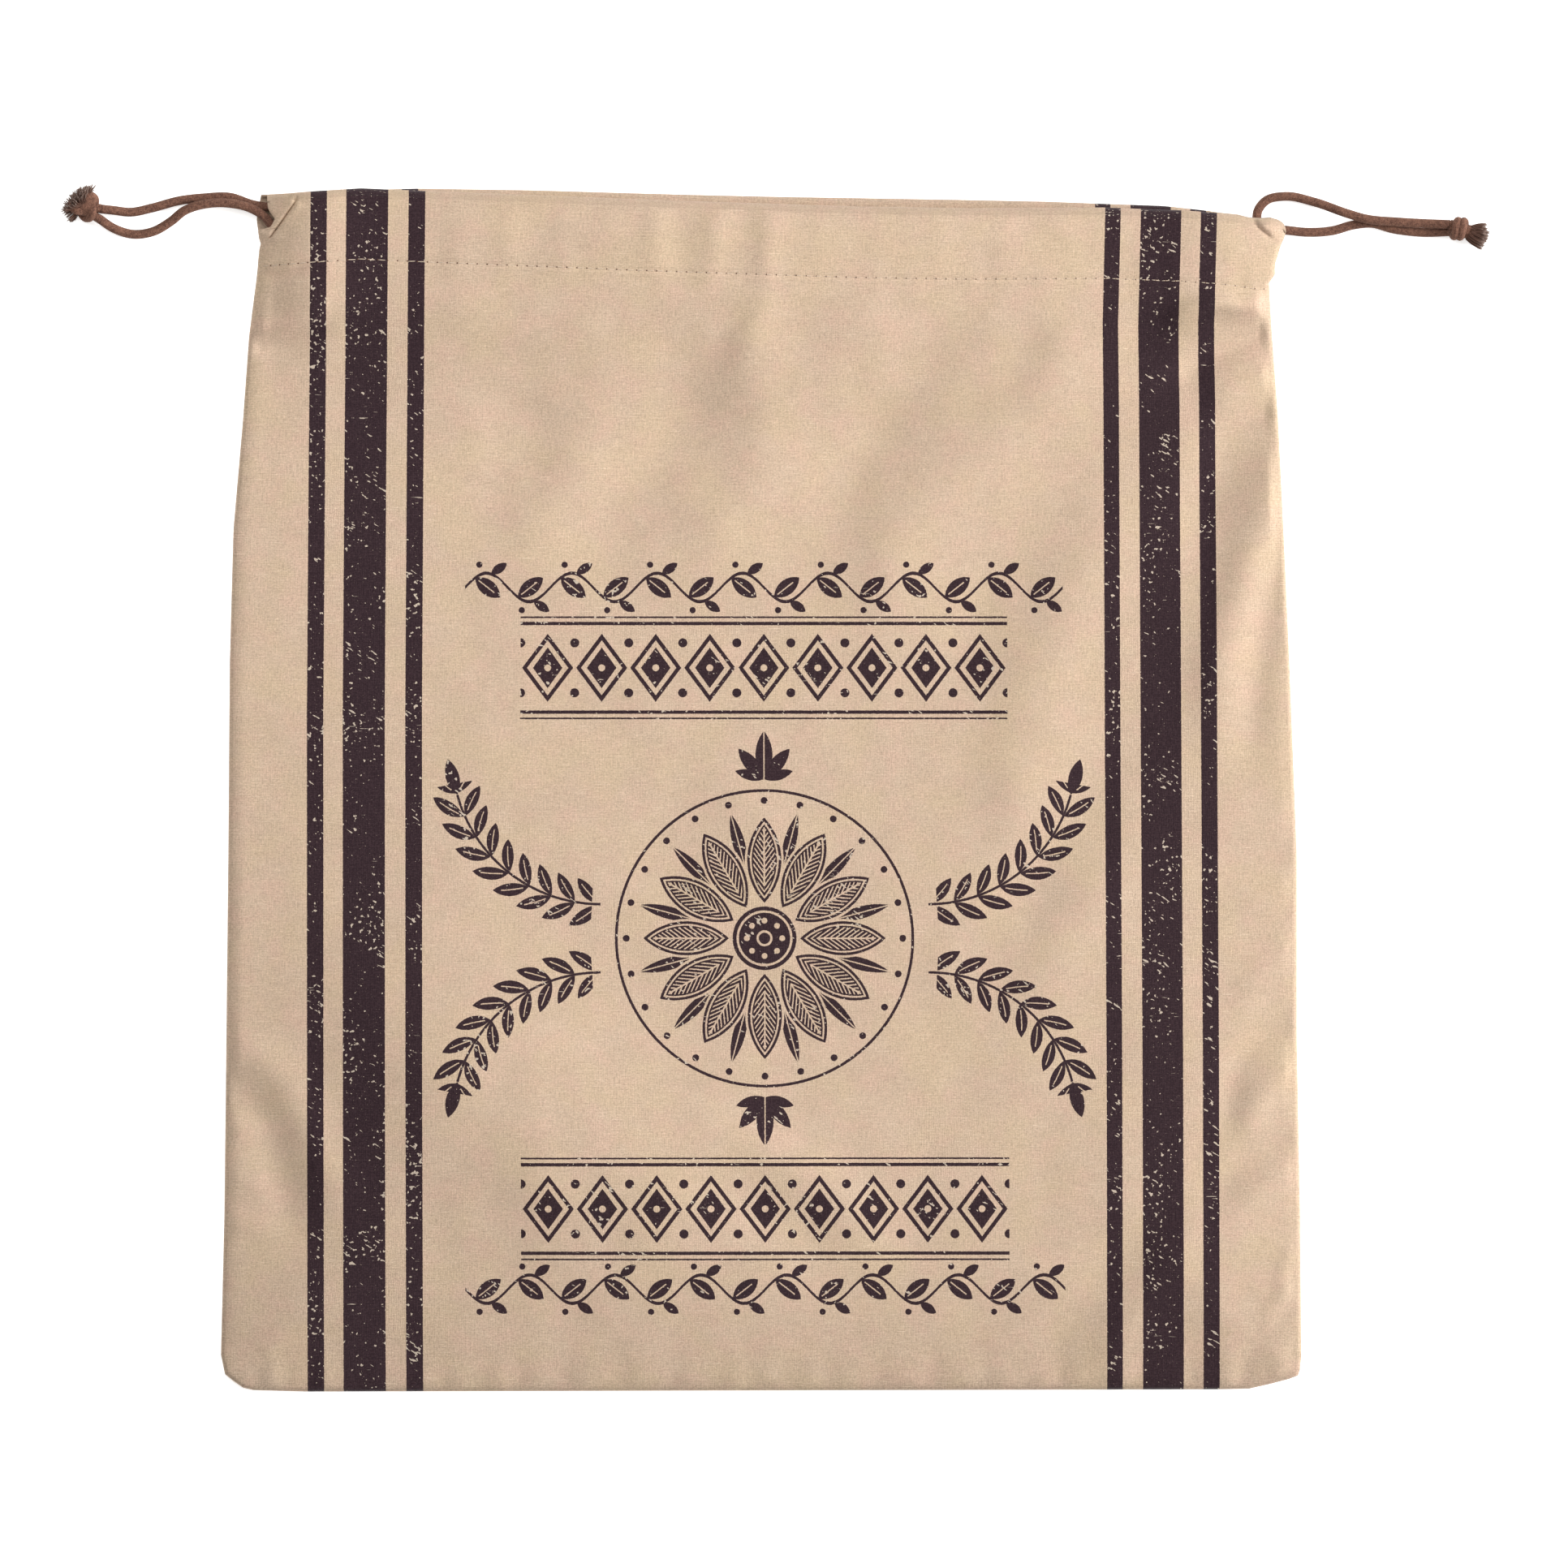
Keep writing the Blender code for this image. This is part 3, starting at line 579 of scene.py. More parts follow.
def place_lights():
    scene = bpy.context.scene
    world = bpy.data.worlds.new("studio")
    world.use_nodes = True
    background = world.node_tree.nodes["Background"]
    background.inputs["Color"].default_value = (1, 1, 1, 1)
    background.inputs["Strength"].default_value = SKY_STRENGTH
    scene.world = world
    scene.view_settings.view_transform = "Standard"
    for name, x, y, z, size, power in LAMPS:
        lamp = bpy.data.lights.new(name, "AREA")
        lamp.size = size
        lamp.energy = power
        lit = bpy.data.objects.new(name, lamp)
        lit.location = (x, y, z)
        lit.rotation_euler = Vector((-x, -y, -z)).to_track_quat("-Z", "Y").to_euler()
        scene.collection.objects.link(lit)


def place_floor():
    corners = [(x * FLOOR_HALF, y * FLOOR_HALF, 0) for x, y in ((-1, -1), (1, -1), (1, 1), (-1, 1))]
    white = plain_material("white_floor", FLOOR_WHITE, FLOOR_ROUGHNESS)
    shader = white.node_tree.nodes["Principled BSDF"]
    shader.inputs["Emission Color"].default_value = FLOOR_WHITE
    shader.inputs["Emission Strength"].default_value = FLOOR_GLOW
    floor = piece("floor", corners, [(0, 1, 2, 3)], white)
    floor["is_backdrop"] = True


# Smooth curves and steps
def ease(value):
    """A soft step from 0 to 1."""
    value = np.clip(value, 0, 1)
    return value * value * (3 - 2 * value)


def mix(low, high, share):
    return low + (high - low) * share


def bump(shape, distance):
    """A soft mound or trough across a line. Shape: height, distance of its middle, width."""
    height, middle, width = shape
    return height * np.exp(-(((distance - middle) / width) ** 2))


def soft_place(place, x, y):
    """1 at the middle of a soft place, fading out round it."""
    middle_x, middle_y, half_width, half_height = place
    return bump((1, middle_x, half_width), x) * bump((1, middle_y, half_height), y)


def uneven_wave(wave, x):
    rate, sway, sway_rate, sway_start, share, other_rate, other_start = wave
    swayed = x * rate + sway * np.sin(x * sway_rate + sway_start)
    return np.sin(swayed) + share * np.sin(x * other_rate + other_start)


def hermite(start, end, start_slope, end_slope, length, part):
    square = part * part
    cube = square * part
    return (
        (2 * cube - 3 * square + 1) * start
        + (cube - 2 * square + part) * length * start_slope
        + (3 * square - 2 * cube) * end
        + (cube - square) * length * end_slope
    )


def slopes(stations, values):
    steps = np.diff(stations)
    rises = np.diff(values, axis=0) / steps[:, None]
    found = np.empty_like(values)
    found[0] = rises[0]
    found[-1] = rises[-1]
    for i in range(1, len(values) - 1):
        before, after = steps[i - 1], steps[i]
        found[i] = (rises[i - 1] * after + rises[i] * before) / (before + after)
    return found


def height_slopes(stations, heights):
    """Slopes of a smooth curve that never passes above or below the heights it joins."""
    rises = np.diff(heights) / np.diff(stations)
    found = np.zeros_like(heights)
    found[0] = rises[0]
    found[-1] = rises[-1]
    for i in range(1, len(heights) - 1):
        before, after = rises[i - 1], rises[i]
        if before * after > 0:
            found[i] = 2 * before * after / (before + after)
    return found


def read(table, value, column=1):
    rows = np.array(table)
    return np.interp(value, rows[:, 0], rows[:, column])


def read_smooth(table, value):
    rows = np.array(table)
    stations, heights = rows[:, 0], rows[:, 1]
    steep = height_slopes(stations, heights)
    value = np.clip(value, stations[0], stations[-1])
    i = np.clip(np.searchsorted(stations, value) - 1, 0, len(stations) - 2)
    length = stations[i + 1] - stations[i]
    part = (value - stations[i]) / length
    return hermite(heights[i], heights[i + 1], steep[i], steep[i + 1], length, part)


def smooth_route(points, step):
    """Evenly spaced points on a smooth curve through a route."""
    points = np.array(points)
    stations = np.concatenate([[0], np.cumsum(np.linalg.norm(np.diff(points, axis=0), axis=1))])
    tangents = slopes(stations, points)
    tangents[:, 2] = height_slopes(stations, points[:, 2])
    fine = []
    for i in range(len(points) - 1):
        length = stations[i + 1] - stations[i]
        for part in np.linspace(0, 1, ROUTE_PARTS, endpoint=False):
            fine.append(hermite(points[i], points[i + 1], tangents[i], tangents[i + 1], length, part))
    fine = np.array([*fine, points[-1]])
    along = np.concatenate([[0], np.cumsum(np.linalg.norm(np.diff(fine, axis=0), axis=1))])
    places = np.linspace(0, along[-1], round(along[-1] / step) + 1)
    return np.stack([np.interp(places, along, fine[:, k]) for k in range(3)], axis=1)


# Meshes
def piece(name, points, faces, *materials, edges=()):
    mesh = bpy.data.meshes.new(name)
    mesh.from_pydata([tuple(map(float, point)) for point in points], edges, faces)
    mesh.shade_smooth()
    for material in materials:
        mesh.materials.append(material)
    obj = bpy.data.objects.new(name, mesh)
    bpy.context.scene.collection.objects.link(obj)
    return obj


def evaluated(obj):
    """Turns a piece's modifiers into plain mesh."""
    mesh = bpy.data.meshes.new_from_object(obj.evaluated_get(bpy.context.evaluated_depsgraph_get()))
    mesh.name = obj.name
    name = obj.name
    bpy.data.objects.remove(obj)
    made = bpy.data.objects.new(name, mesh)
    bpy.context.scene.collection.objects.link(made)
    return made


def frames_along(points, closed=False):
    """A side and an up direction at each point of a line, turning no more than the line does."""
    count = len(points)
    heading = np.roll(points, -1, axis=0) - np.roll(points, 1, axis=0)
    if not closed:
        heading[0] = points[1] - points[0]
        heading[-1] = points[-1] - points[-2]
    heading /= np.linalg.norm(heading, axis=1)[:, None]
    up = np.array([0.0, 0.0, 1.0])
    sides, ups = np.empty((count, 3)), np.empty((count, 3))
    for i in range(count):
        up = up - heading[i] * up.dot(heading[i])
        up /= np.linalg.norm(up)
        ups[i] = up
        sides[i] = np.cross(heading[i], up)
    return sides, ups


def tube_mesh(points, radius, sides, closed=False):
    """Points, faces and flat coordinates of a round tube."""
    side, up = frames_along(points, closed)
    around = np.arange(sides) * math.tau / sides
    ring = side[:, None] * np.cos(around)[None, :, None] + up[:, None] * np.sin(around)[None, :, None]
    verts = (points[:, None] + ring * radius).reshape(-1, 3)
    steps = np.linalg.norm(np.diff(points, axis=0), axis=1)
    along = np.concatenate([[0], np.cumsum(steps)])
    count = len(points) if closed else len(points) - 1
    faces, flats = [], []
    for i in range(count):
        j = (i + 1) % len(points)
        start, end = along[i], along[i] + (steps[i] if i < len(steps) else steps[0])
        for k in range(sides):
            after = (k + 1) % sides
            faces.append((i * sides + k, i * sides + after, j * sides + after, j * sides + k))
            low, high = k / sides, (k + 1) / sides
            flats += [(low, start), (high, start), (high, end), (low, end)]
    if not closed:
        last = (len(points) - 1) * sides
        faces.append(tuple(range(sides - 1, -1, -1)))
        faces.append(tuple(last + k for k in range(sides)))
        flats += [(0.5, along[0])] * sides + [(0.5, along[-1])] * sides
    return verts, faces, flats


def lay_flat_map(obj, flats):
    layer = obj.data.uv_layers.new(name="flat")
    layer.data.foreach_set("uv", np.array(flats, dtype=np.float32).ravel())


# The cloth's shape
def plan_line(points):
    """Distance to a line in plan, the side of it that a place is on, and the share of its length there."""
    points = np.array(points)
    lengths = np.linalg.norm(np.diff(points, axis=0), axis=1)
    starts = np.concatenate([[0], np.cumsum(lengths)])

    def measure(x, y):
        best = np.full(np.shape(x), np.inf)
        side = np.zeros(np.shape(x))
        share = np.zeros(np.shape(x))
        for i, (start, end) in enumerate(zip(points, points[1:])):
            along = end - start
            part = ((x - start[0]) * along[0] + (y - start[1]) * along[1]) / along.dot(along)
            part = np.clip(part, 0, 1)
            dx, dy = x - start[0] - part * along[0], y - start[1] - part * along[1]
            distance = np.hypot(dx, dy)
            nearer = distance < best
            best = np.where(nearer, distance, best)
            side = np.where(nearer, np.sign(along[0] * dy - along[1] * dx), side)
            share = np.where(nearer, (starts[i] + part * lengths[i]) / starts[-1], share)
        return best, side, share

    return measure


def seam_points():
    left = [(row[1], row[0]) for row in reversed(SEWN_SIDES + FRONT_ENDS[:LEFT_SEAM_ROWS])]
    right = [(row[2], row[0]) for row in SEWN_SIDES]
    top_left = (float(read(SEWN_SIDES + FRONT_ENDS, LEFT_SEAM_TOP)), LEFT_SEAM_TOP)
    return [top_left, *left, *BOTTOM_EDGE[1:-1], *right]


seam_measure = plan_line(seam_points())
left_crease_measure = plan_line(LEFT_CREASE)
left_tuck_measure = plan_line(LEFT_TUCK)
right_crease_measure = plan_line(RIGHT_CREASE)


def sewn_share(x, y):
    """1 where the two panels are sewn together at the edge, 0 beside the casings' open ends."""
    along = np.clip(x / CLOTH_WIDTH + 0.5, 0, 1)
    seam_top = mix(LEFT_SEAM_TOP, RIGHT_SEAM_TOP, along)
    opens_over = mix(LEFT_OPENS_OVER, RIGHT_OPENS_OVER, along)
    return 1 - ease((y - seam_top + opens_over) / opens_over)


def lower_share(y):
    return ease((LOWER_TOP - y) / LOWER_LENGTH)


def shoulder_width(x, y):
    """How far in from a seam the cloth goes on rising, less far lower down."""
    corner, bottom = soft_place(LOWER_LEFT, x, y), soft_place(ALONG_BOTTOM, x, y)
    less = SHOULDER_LESS_LOWER * lower_share(y) + SHOULDER_LESS_AT_CORNER * corner
    return SHOULDER_WIDTH - less - SHOULDER_LESS_AT_BOTTOM * bottom


def edge_share(x, y):
    """Share of the rise that comes close to the seam, less at the lower left and the right."""
    corner, bottom = soft_place(LEFT_CORNER, x, y), soft_place(ALONG_BOTTOM, x, y)
    right = np.clip((x - RIGHT_START) / RIGHT_BLEND, 0, 1)
    right = right * np.exp(-(((y - RIGHT_MIDDLE) / RIGHT_HALF_LENGTH) ** 4))
    slow = EDGE_SHARE - CORNER_SLOWS * corner * (1 - bottom) - BOTTOM_SLOWS * bottom - RIGHT_SLOWS * right
    return mix(slow, 1.0, ease((y - FULL_SHARE_FROM) / FULL_SHARE_OVER))


def soft_waves(seed, count, shortest, longest):
    """Random soft waves over the cloth: rates across and up, start and size of each."""
    chance = np.random.default_rng(seed)
    length = np.exp(chance.uniform(math.log(shortest), math.log(longest), count))
    turn = chance.uniform(0, math.pi, count)
    start = chance.uniform(0, math.tau, count)
    rate = math.tau / length
    return list(zip(rate * np.cos(turn), rate * np.sin(turn), start, length / longest))


WAVES = soft_waves(seed=7, count=26, shortest=0.014, longest=0.060)
WAVE_HEIGHT = 0.00007
WAVES_START = 0.004
WAVES_FADE = 0.02


def wave_rise(x, y):
    return WAVE_HEIGHT * sum(size * np.sin(across * x + up * y + start) for across, up, start, size in WAVES)


def fold_mounds():
    """Each fold as a row of round mounds along its line, so that its bends and ends come out soft."""
    found = []
    for width_mm, rise_mm, *places in FOLDS:
        half_width, rise = width_mm * MM, rise_mm * MM
        points = np.array([(x, y, 0.0) for x, y in places]) * MM
        length = np.linalg.norm(np.diff(points, axis=0), axis=1).sum()
        line = smooth_route(points, min(MOUND_STEP * half_width, length / FEWEST_MOUNDS))
        share = np.linspace(0, 1, len(line))
        fade = ease((share + FOLD_TIP) / FOLD_TIP_FADE) * ease((1 + FOLD_TIP - share) / FOLD_TIP_FADE)
        height = rise * fade * length / (len(line) - 1) / (half_width * math.sqrt(math.pi))
        found += [(x, y, half_width, tall) for (x, y, _), tall in zip(line, height)]
    return np.array(found).T


MOUNDS = fold_mounds()


def fold_rise(x, y):
    middle_x, middle_y, half_width, tall = MOUNDS
    across, up = np.subtract.outer(x, middle_x), np.subtract.outer(y, middle_y)
    return np.exp(-(across**2 + up**2) / half_width**2) @ tall


def hem_gathers(x, down):
    """Small upright gathers that the hem's stitches draw into the cloth, above and below the row."""
    close = uneven_wave(HEM_WAVE, x) * bump(HEM_GATHER, down)
    broad = uneven_wave(CASING_WAVE, x) * (CASING_GATHER_LEAST + bump(CASING_GATHER_MOST, x))
    fade = ease(down / CASING_GATHER_START) * ease((CASING_GATHER_END - down) / CASING_GATHER_FADE)
    return close + CASING_GATHER * broad * fade


def bottom_gathers(x, y):
    up = y - read(BOTTOM_EDGE, x)
    return uneven_wave(BOTTOM_WAVE, x) * bump(BOTTOM_GATHER, up) * ease(up / BOTTOM_GATHER_START)


def ends_fade(share, start, end):
    return ease(share / start) * ease((1 - share) / end)


def crease_places(x, y):
    """Signed distances to the two end creases and how strong each is there."""
    distance, side, share = left_crease_measure(x, y)
    left = distance * side, ends_fade(share, *LEFT_FADES)
    distance, side, share = right_crease_measure(x, y)
    right = distance * side, ends_fade(share, *RIGHT_FADES)
    return left, right


def corner_creases(x, y):
    """The lip and groove at the casing's left end, and the puffed flap at its right end."""
    (left, left_fade), (right, right_fade) = crease_places(x, y)
    distance, _, share = left_tuck_measure(x, y)
    lip = sum(bump(shape, left) for shape in (LEFT_LIP, LEFT_GROOVE, LEFT_SWELL))
    tuck = bump(TUCK_GROOVE, distance) * ease(share / TUCK_FADE)
    flap = ease(right / PUFF_START) * bump(RIGHT_PUFF, right) + bump(RIGHT_GROOVE, right)
    return lip * left_fade + tuck + flap * right_fade


def crease_lean(x, y):
    """How far each crease's raised side leans over its groove, across and up."""
    (left, left_fade), (right, right_fade) = crease_places(x, y)
    over_left = bump(LEFT_OVERHANG, left) * left_fade
    over_right = bump(RIGHT_OVERHANG, right) * right_fade
    ways = zip(LEFT_LEANS, RIGHT_LEANS)
    return [of_left * over_left + of_right * over_right for of_left, of_right in ways]


def stitched_share(down):
    """0 at the casing's full height and 1 at the row of stitches."""
    return ease((down - CASING_FULL) / (STITCH_LINE - CASING_FULL))


def front_height(x, y, down):
    """Height of the front's outer face, with down the distance below its top edge."""
    casing = read_smooth(FRONT_STRANDS, x) + CASING_REACH - STITCHED_DIP * stitched_share(down)
    field = FIELD_HEIGHT + LOWER_RISE * lower_share(y) + CROWN_RISE * soft_place(CROWN, x, y)
    height = mix(casing, field, ease((down - STITCH_LINE) / CASING_SLOPE))
    height = height + wave_rise(x, y) * ease((down + WAVES_START) / WAVES_FADE)
    ledge = HEM_LEDGE * ease((HEM_END - down) / HEM_LEDGE_WIDTH)
    return height + bump(STITCH_GROOVE, down) + ledge + hem_gathers(x, down) + corner_creases(x, y)


def rising(distance, width):
    """From 0 at a seam to 1 at a width from it, steepest at the seam."""
    return 1 - (1 - np.minimum(distance / width, 1)) ** 2


def front_outer(x, y, down):
    """Height of the front's outer face with its sewn edges rolled down to the seam."""
    height = front_height(x, y, down)
    distance, _, _ = seam_measure(x, y)
    base = SEAM_HEIGHT + SEAM_GAP
    rise = mix(rising(distance, shoulder_width(x, y)), rising(distance, EDGE_RISE_WIDTH), edge_share(x, y))
    rolled = base + ROLL * np.sqrt(rising(distance, ROLL)) + (height - base - ROLL) * rise
    rolled = rolled + bottom_gathers(x, y)
    folds = fold_rise(x, y) * ease(distance / FOLD_FADE) * ease(down / TOP_FADE)
    return mix(height, rolled, sewn_share(x, y)) + folds


def back_outer(x, y, down):
    """Height of the back's outer face, flat on the surface but for its sewn edges."""
    distance, _, _ = seam_measure(x, y)
    return SEAM_HEIGHT * (1 - np.sqrt(rising(distance, SEAM_HEIGHT))) * sewn_share(x, y)


def spaced(stops):
    """Distances from 0 in runs of even steps. Columns of stops: where a run ends, its step."""
    found, start = [0.0], 0.0
    for end, step in stops:
        count = max(1, round((end - start) / step))
        found += list(np.linspace(start, end, count + 1)[1:])
        start = end
    return np.array(found)


class Panel:
    """One panel's outline and faces. side is 1 for the front and -1 for the back."""

    def __init__(self, sides, soft, top, outer, side, edge_runs, middle, rows, drift):
        self.sides = sides
        self.soft = soft
        self.top = top
        self.outer = outer
        self.side = side
        edge = spaced(edge_runs)
        inner = edge[-1] / CLOTH_WIDTH
        middle_shares = np.linspace(inner, 1 - inner, middle + 2)[1:-1]
        none = np.zeros(len(edge))
        self.shares = np.concatenate([none, middle_shares, none + 1])
        self.offsets = np.concatenate([edge, np.zeros(middle), -edge[::-1]])
        near = np.clip(1 - edge / EDGE_BLEND, 0, 1)
        self.near_left = np.concatenate([near, np.zeros(middle), none])
        self.near_right = np.concatenate([none, np.zeros(middle), near[::-1]])
        self.rows_up = spaced(rows[0])
        self.rows_down = spaced(rows[1])[::-1]
        self.drift = drift

    def strand(self, x):
        return read_smooth(FRONT_STRANDS, x) if self.side > 0 else np.full(np.shape(x), BACK_STRAND)

    def across(self, y):
        soft_left, soft_right = read(self.soft, y, 1), read(self.soft, y, 2)
        left, right = read(self.sides, y, 1), read(self.sides, y, 2)
        x = mix(soft_left, soft_right, self.shares) + self.offsets
        return x + (left - soft_left) * self.near_left + (right - soft_right) * self.near_right

    def place(self, find_y):
        x = mix(-PLACING_START, PLACING_START, self.shares)
        for _ in range(PLACING_ROUNDS):
            x = self.across(find_y(x))
        return x, find_y(x)

    def below_top(self, down):
        """The y of a row at a distance below the top edge, as a function of x."""
        return lambda x: read(self.top, x) - down

    def flat_place(self, x, y, extra=0.0):
        """Where a place lies on the cloth as it was cut and printed, extra past the top edge."""
        left = read(LEFT_DRIFT, y) + self.drift[0]
        right = read(RIGHT_DRIFT, y) + self.drift[1]
        share = np.clip(x / (2 * STRIPE_SIDE) + 0.5, *DRIFT_SHARES)
        return np.stack([x - mix(left, right, share), y + extra], 1)

    def outer_row(self, find_y):
        x, y = self.place(find_y)
        z = self.outer(x, y, read(self.top, x) - y) - self.side * self.edge_drop(x, y)
        flat = self.flat_place(x, y)
        if self.side > 0:
            across, up = crease_lean(x, y)
            x, y = x + across, y + up
        return np.stack([x, y, z], 1), flat

    def edge_drop(self, x, y):
        """How far an open end's edge curls in towards the cords."""
        inward = np.minimum(x - read(self.sides, y, 1), read(self.sides, y, 2) - x)
        curl = np.clip(1 - inward / FREE_EDGE_ROLL, 0, 1) ** 2
        return FREE_EDGE_DROP * curl * (1 - sewn_share(x, y)) * (self.side > 0)

    def squeezed(self, down, share):
        """x of a row past the top edge, share of the way to the turned-in layer."""
        x, _ = self.place(self.below_top(down))
        edge = np.where(x > 0, x[-1], x[0])
        inward = (np.abs(x) - INNER_LAYER_FREE) / (np.abs(edge) - INNER_LAYER_FREE)
        squeezed = np.sign(x) * mix(INNER_LAYER_FREE, INNER_LAYER_END, inward)
        return np.where(np.abs(x) <= INNER_LAYER_FREE, x, mix(x, squeezed, share))

    def fold_row(self, angle):
        """A row of the turned top edge, from 90 degrees on its outside to -90 on its inside."""
        turn = math.radians(angle)
        down = CASING_REACH * (1 - math.cos(turn))
        x = self.squeezed(down, float(ease(-angle / 90)))
        y = self.below_top(down)(x)
        z = self.strand(x) + self.side * CASING_REACH * math.sin(turn)
        if self.side > 0:
            z = z + corner_creases(x, y) * ease(angle / 90)
        extra = CASING_REACH * (math.pi / 2 - turn) + (down if angle < 0 else -down)
        return np.stack([x, y, z], 1), self.flat_place(x, y, extra)

    def inner_row(self, down):
        """A row of the turned-in layer, which comes up to the outer one at the stitches."""
        x = self.squeezed(down, 1.0)
        y = self.below_top(down)(x)
        low = self.strand(x) - self.side * CASING_REACH
        if self.side > 0:
            high = self.strand(x) + CASING_REACH - STITCHED_DIP - 2 * CLOTH - INNER_LAYER_GAP
        else:
            high = 2 * CLOTH + INNER_LAYER_GAP
        z = mix(low, high, stitched_share(down))
        extra = 2 * down + CASING_REACH * (math.pi - 2)
        return np.stack([x, y, z], 1), self.flat_place(x, y, extra)

    def field_row(self, up_share):
        field_top = self.below_top(self.rows_down[0])
        return self.outer_row(lambda x: mix(read(BOTTOM_EDGE, x), field_top(x), up_share))

    def rows(self):
        for up in self.rows_up:
            yield self.field_row(up / self.rows_up[-1])
        for down in self.rows_down[1:-1]:
            if down > CASING_REACH:
                yield self.outer_row(self.below_top(down))
        for angle in FOLD_ANGLES:
            yield self.fold_row(angle)
        for down in INNER_ROWS:
            yield self.inner_row(down)


def edge_shades(x, y, top):
    """How much painted shade darkens each place: most at the folded top edge, less along the sewn edges."""
    below = np.abs(read(top, x) - y)
    distance, _, _ = seam_measure(x, y)
    folded = np.exp(-((below / TOP_PAINTED_SHADE_WIDTH) ** 2))
    sewn = SEAM_PAINTED_SHADE_SHARE * np.exp(-((distance / SEAM_PAINTED_SHADE_WIDTH) ** 2)) * sewn_share(x, y)
    return np.maximum(folded, sewn)


def cloth(name, panel, outside, inside):
    """A panel as a thin closed sheet. Its inner face has half as many rows and columns as its outer face."""
    rows = list(panel.rows())
    if len(rows) % 2 == 0:
        rows = rows[:1] + rows[2:]
    points = np.stack([row[0] for row in rows])
    flats = np.stack([row[1] for row in rows])
    slope_up, slope_across = np.gradient(points, axis=0), np.gradient(points, axis=1)
    normals = np.cross(slope_across, slope_up) * panel.side
    normals /= np.linalg.norm(normals, axis=2)[..., None]
    inner = (points - normals * CLOTH)[::2, ::2]
    count, across = points.shape[:2]
    half_count, half_across = inner.shape[:2]
    outer_index = np.arange(count * across).reshape(count, across)
    inner_index = np.arange(half_count * half_across).reshape(half_count, half_across) + outer_index.size
    faces = closed_faces(outer_index, inner_index, panel.side > 0)
    outer_faces = (count - 1) * (across - 1)
    everything = np.concatenate([points.reshape(-1, 3), inner.reshape(-1, 3)])
    flat = np.concatenate([flats.reshape(-1, 2), flats[::2, ::2].reshape(-1, 2)])
    obj = piece(name, everything, faces, outside, inside)
    lay_flat_map(obj, flat[[i for face in faces for i in face]])
    slots = np.ones(len(faces), dtype=np.int32)
    slots[:outer_faces] = 0
    obj.data.polygons.foreach_set("material_index", slots)
    # edge_shade marks where painted shade darkens the folded top edge and the sewn edges
    shades = obj.data.attributes.new("edge_shade", "FLOAT", "POINT")
    shades.data.foreach_set("value", edge_shades(everything[:, 0], everything[:, 1], panel.top))
    return obj


def closed_faces(outer_index, inner_index, upright):
    """Faces of both sides, and round the rim, where each joins two steps outside to one inside."""
    faces = quads(outer_index, upright) + quads(inner_index, not upright)
    for outer_edge, inner_edge in zip(borders(outer_index), borders(inner_index)):
        for k in range(len(inner_edge) - 1):
            corners = (*outer_edge[2 * k : 2 * k + 3], inner_edge[k + 1], inner_edge[k])
            faces.append(tuple(int(i) for i in (corners[::-1] if upright else corners)))
    return faces


def quads(index, upright):
    corners = np.stack([index[:-1, :-1], index[:-1, 1:], index[1:, 1:], index[1:, :-1]], 2).reshape(-1, 4)
    if not upright:
        corners = corners[:, ::-1]
    return [tuple(face) for face in corners.tolist()]


def borders(index):
    """The four edges of a grid, going round it."""
    return index[0], index[:, -1], index[-1, ::-1], index[::-1, 0]


# Node trees
NUMBER, WHOLE, VECTOR = "NodeSocketFloat", "NodeSocketInt", "NodeSocketVector"
SHAPE, MATERIAL = "NodeSocketGeometry", "NodeSocketMaterial"

# Sockets of the mix and chance nodes that share their names with others
MIX_LOW, MIX_HIGH, MIX_RESULT = 6, 7, 2
CHANCE_LOW, CHANCE_HIGH, CHANCE_RESULT = 2, 3, 1


class Value:
    """A node's output, for sums written as usual. Each sum adds one math node to the tree."""

    def __init__(self, socket):
        self.socket = socket
        self.tree = socket.id_data

    def apply(self, operation, *others):
        return calculate(self.tree, operation, self, *others)

    def __rsub__(self, other):
        return calculate(self.tree, "SUBTRACT", other, self)

    __add__ = partialmethod(apply, "ADD")
    __mul__ = partialmethod(apply, "MULTIPLY")
    __sub__ = partialmethod(apply, "SUBTRACT")
    __truediv__ = partialmethod(apply, "DIVIDE")
    __pow__ = partialmethod(apply, "POWER")
    __abs__ = partialmethod(apply, "ABSOLUTE")


def connect(tree, value, socket):
    """Links an output to an input, or gives the input a plain value."""
    if isinstance(value, Value):
        value = value.socket
    if isinstance(value, bpy.types.NodeSocket):
        tree.links.new(value, socket)
    else:
        socket.default_value = value


def add_node(tree, kind, inputs=(), **settings):
    """A node with its settings, and its inputs by name or number."""
    node = tree.nodes.new(kind)
    for key, value in settings.items():
        setattr(node, key, value)
    for key, value in dict(inputs).items():
        connect(tree, value, node.inputs[key])
    return node


def calculate(tree, operation, *values):
    return Value(add_node(tree, "ShaderNodeMath", enumerate(values), operation=operation).outputs["Value"])


def new_tree(name, kind, inputs, outputs):
    """A node group, what it is given and what it gives out.

    Inputs: name, kind and perhaps a value. Outputs: name, kind.
    """
    tree = bpy.data.node_groups.new(name, kind)
    for label, socket_kind, *value in inputs:
        socket = tree.interface.new_socket(label, in_out="INPUT", socket_type=socket_kind)
        if value:
            socket.default_value = value[0]
    for label, socket_kind in outputs:
        tree.interface.new_socket(label, in_out="OUTPUT", socket_type=socket_kind)
    given, out = tree.nodes.new("NodeGroupInput"), tree.nodes.new("NodeGroupOutput")
    return tree, given.outputs, out.inputs


def new_shader_group(name, inputs, outputs):
    return new_tree(name, "ShaderNodeTree", inputs, outputs)


def give_out(tree, out, results):
    for label, value in results.items():
        connect(tree, value, out[label])


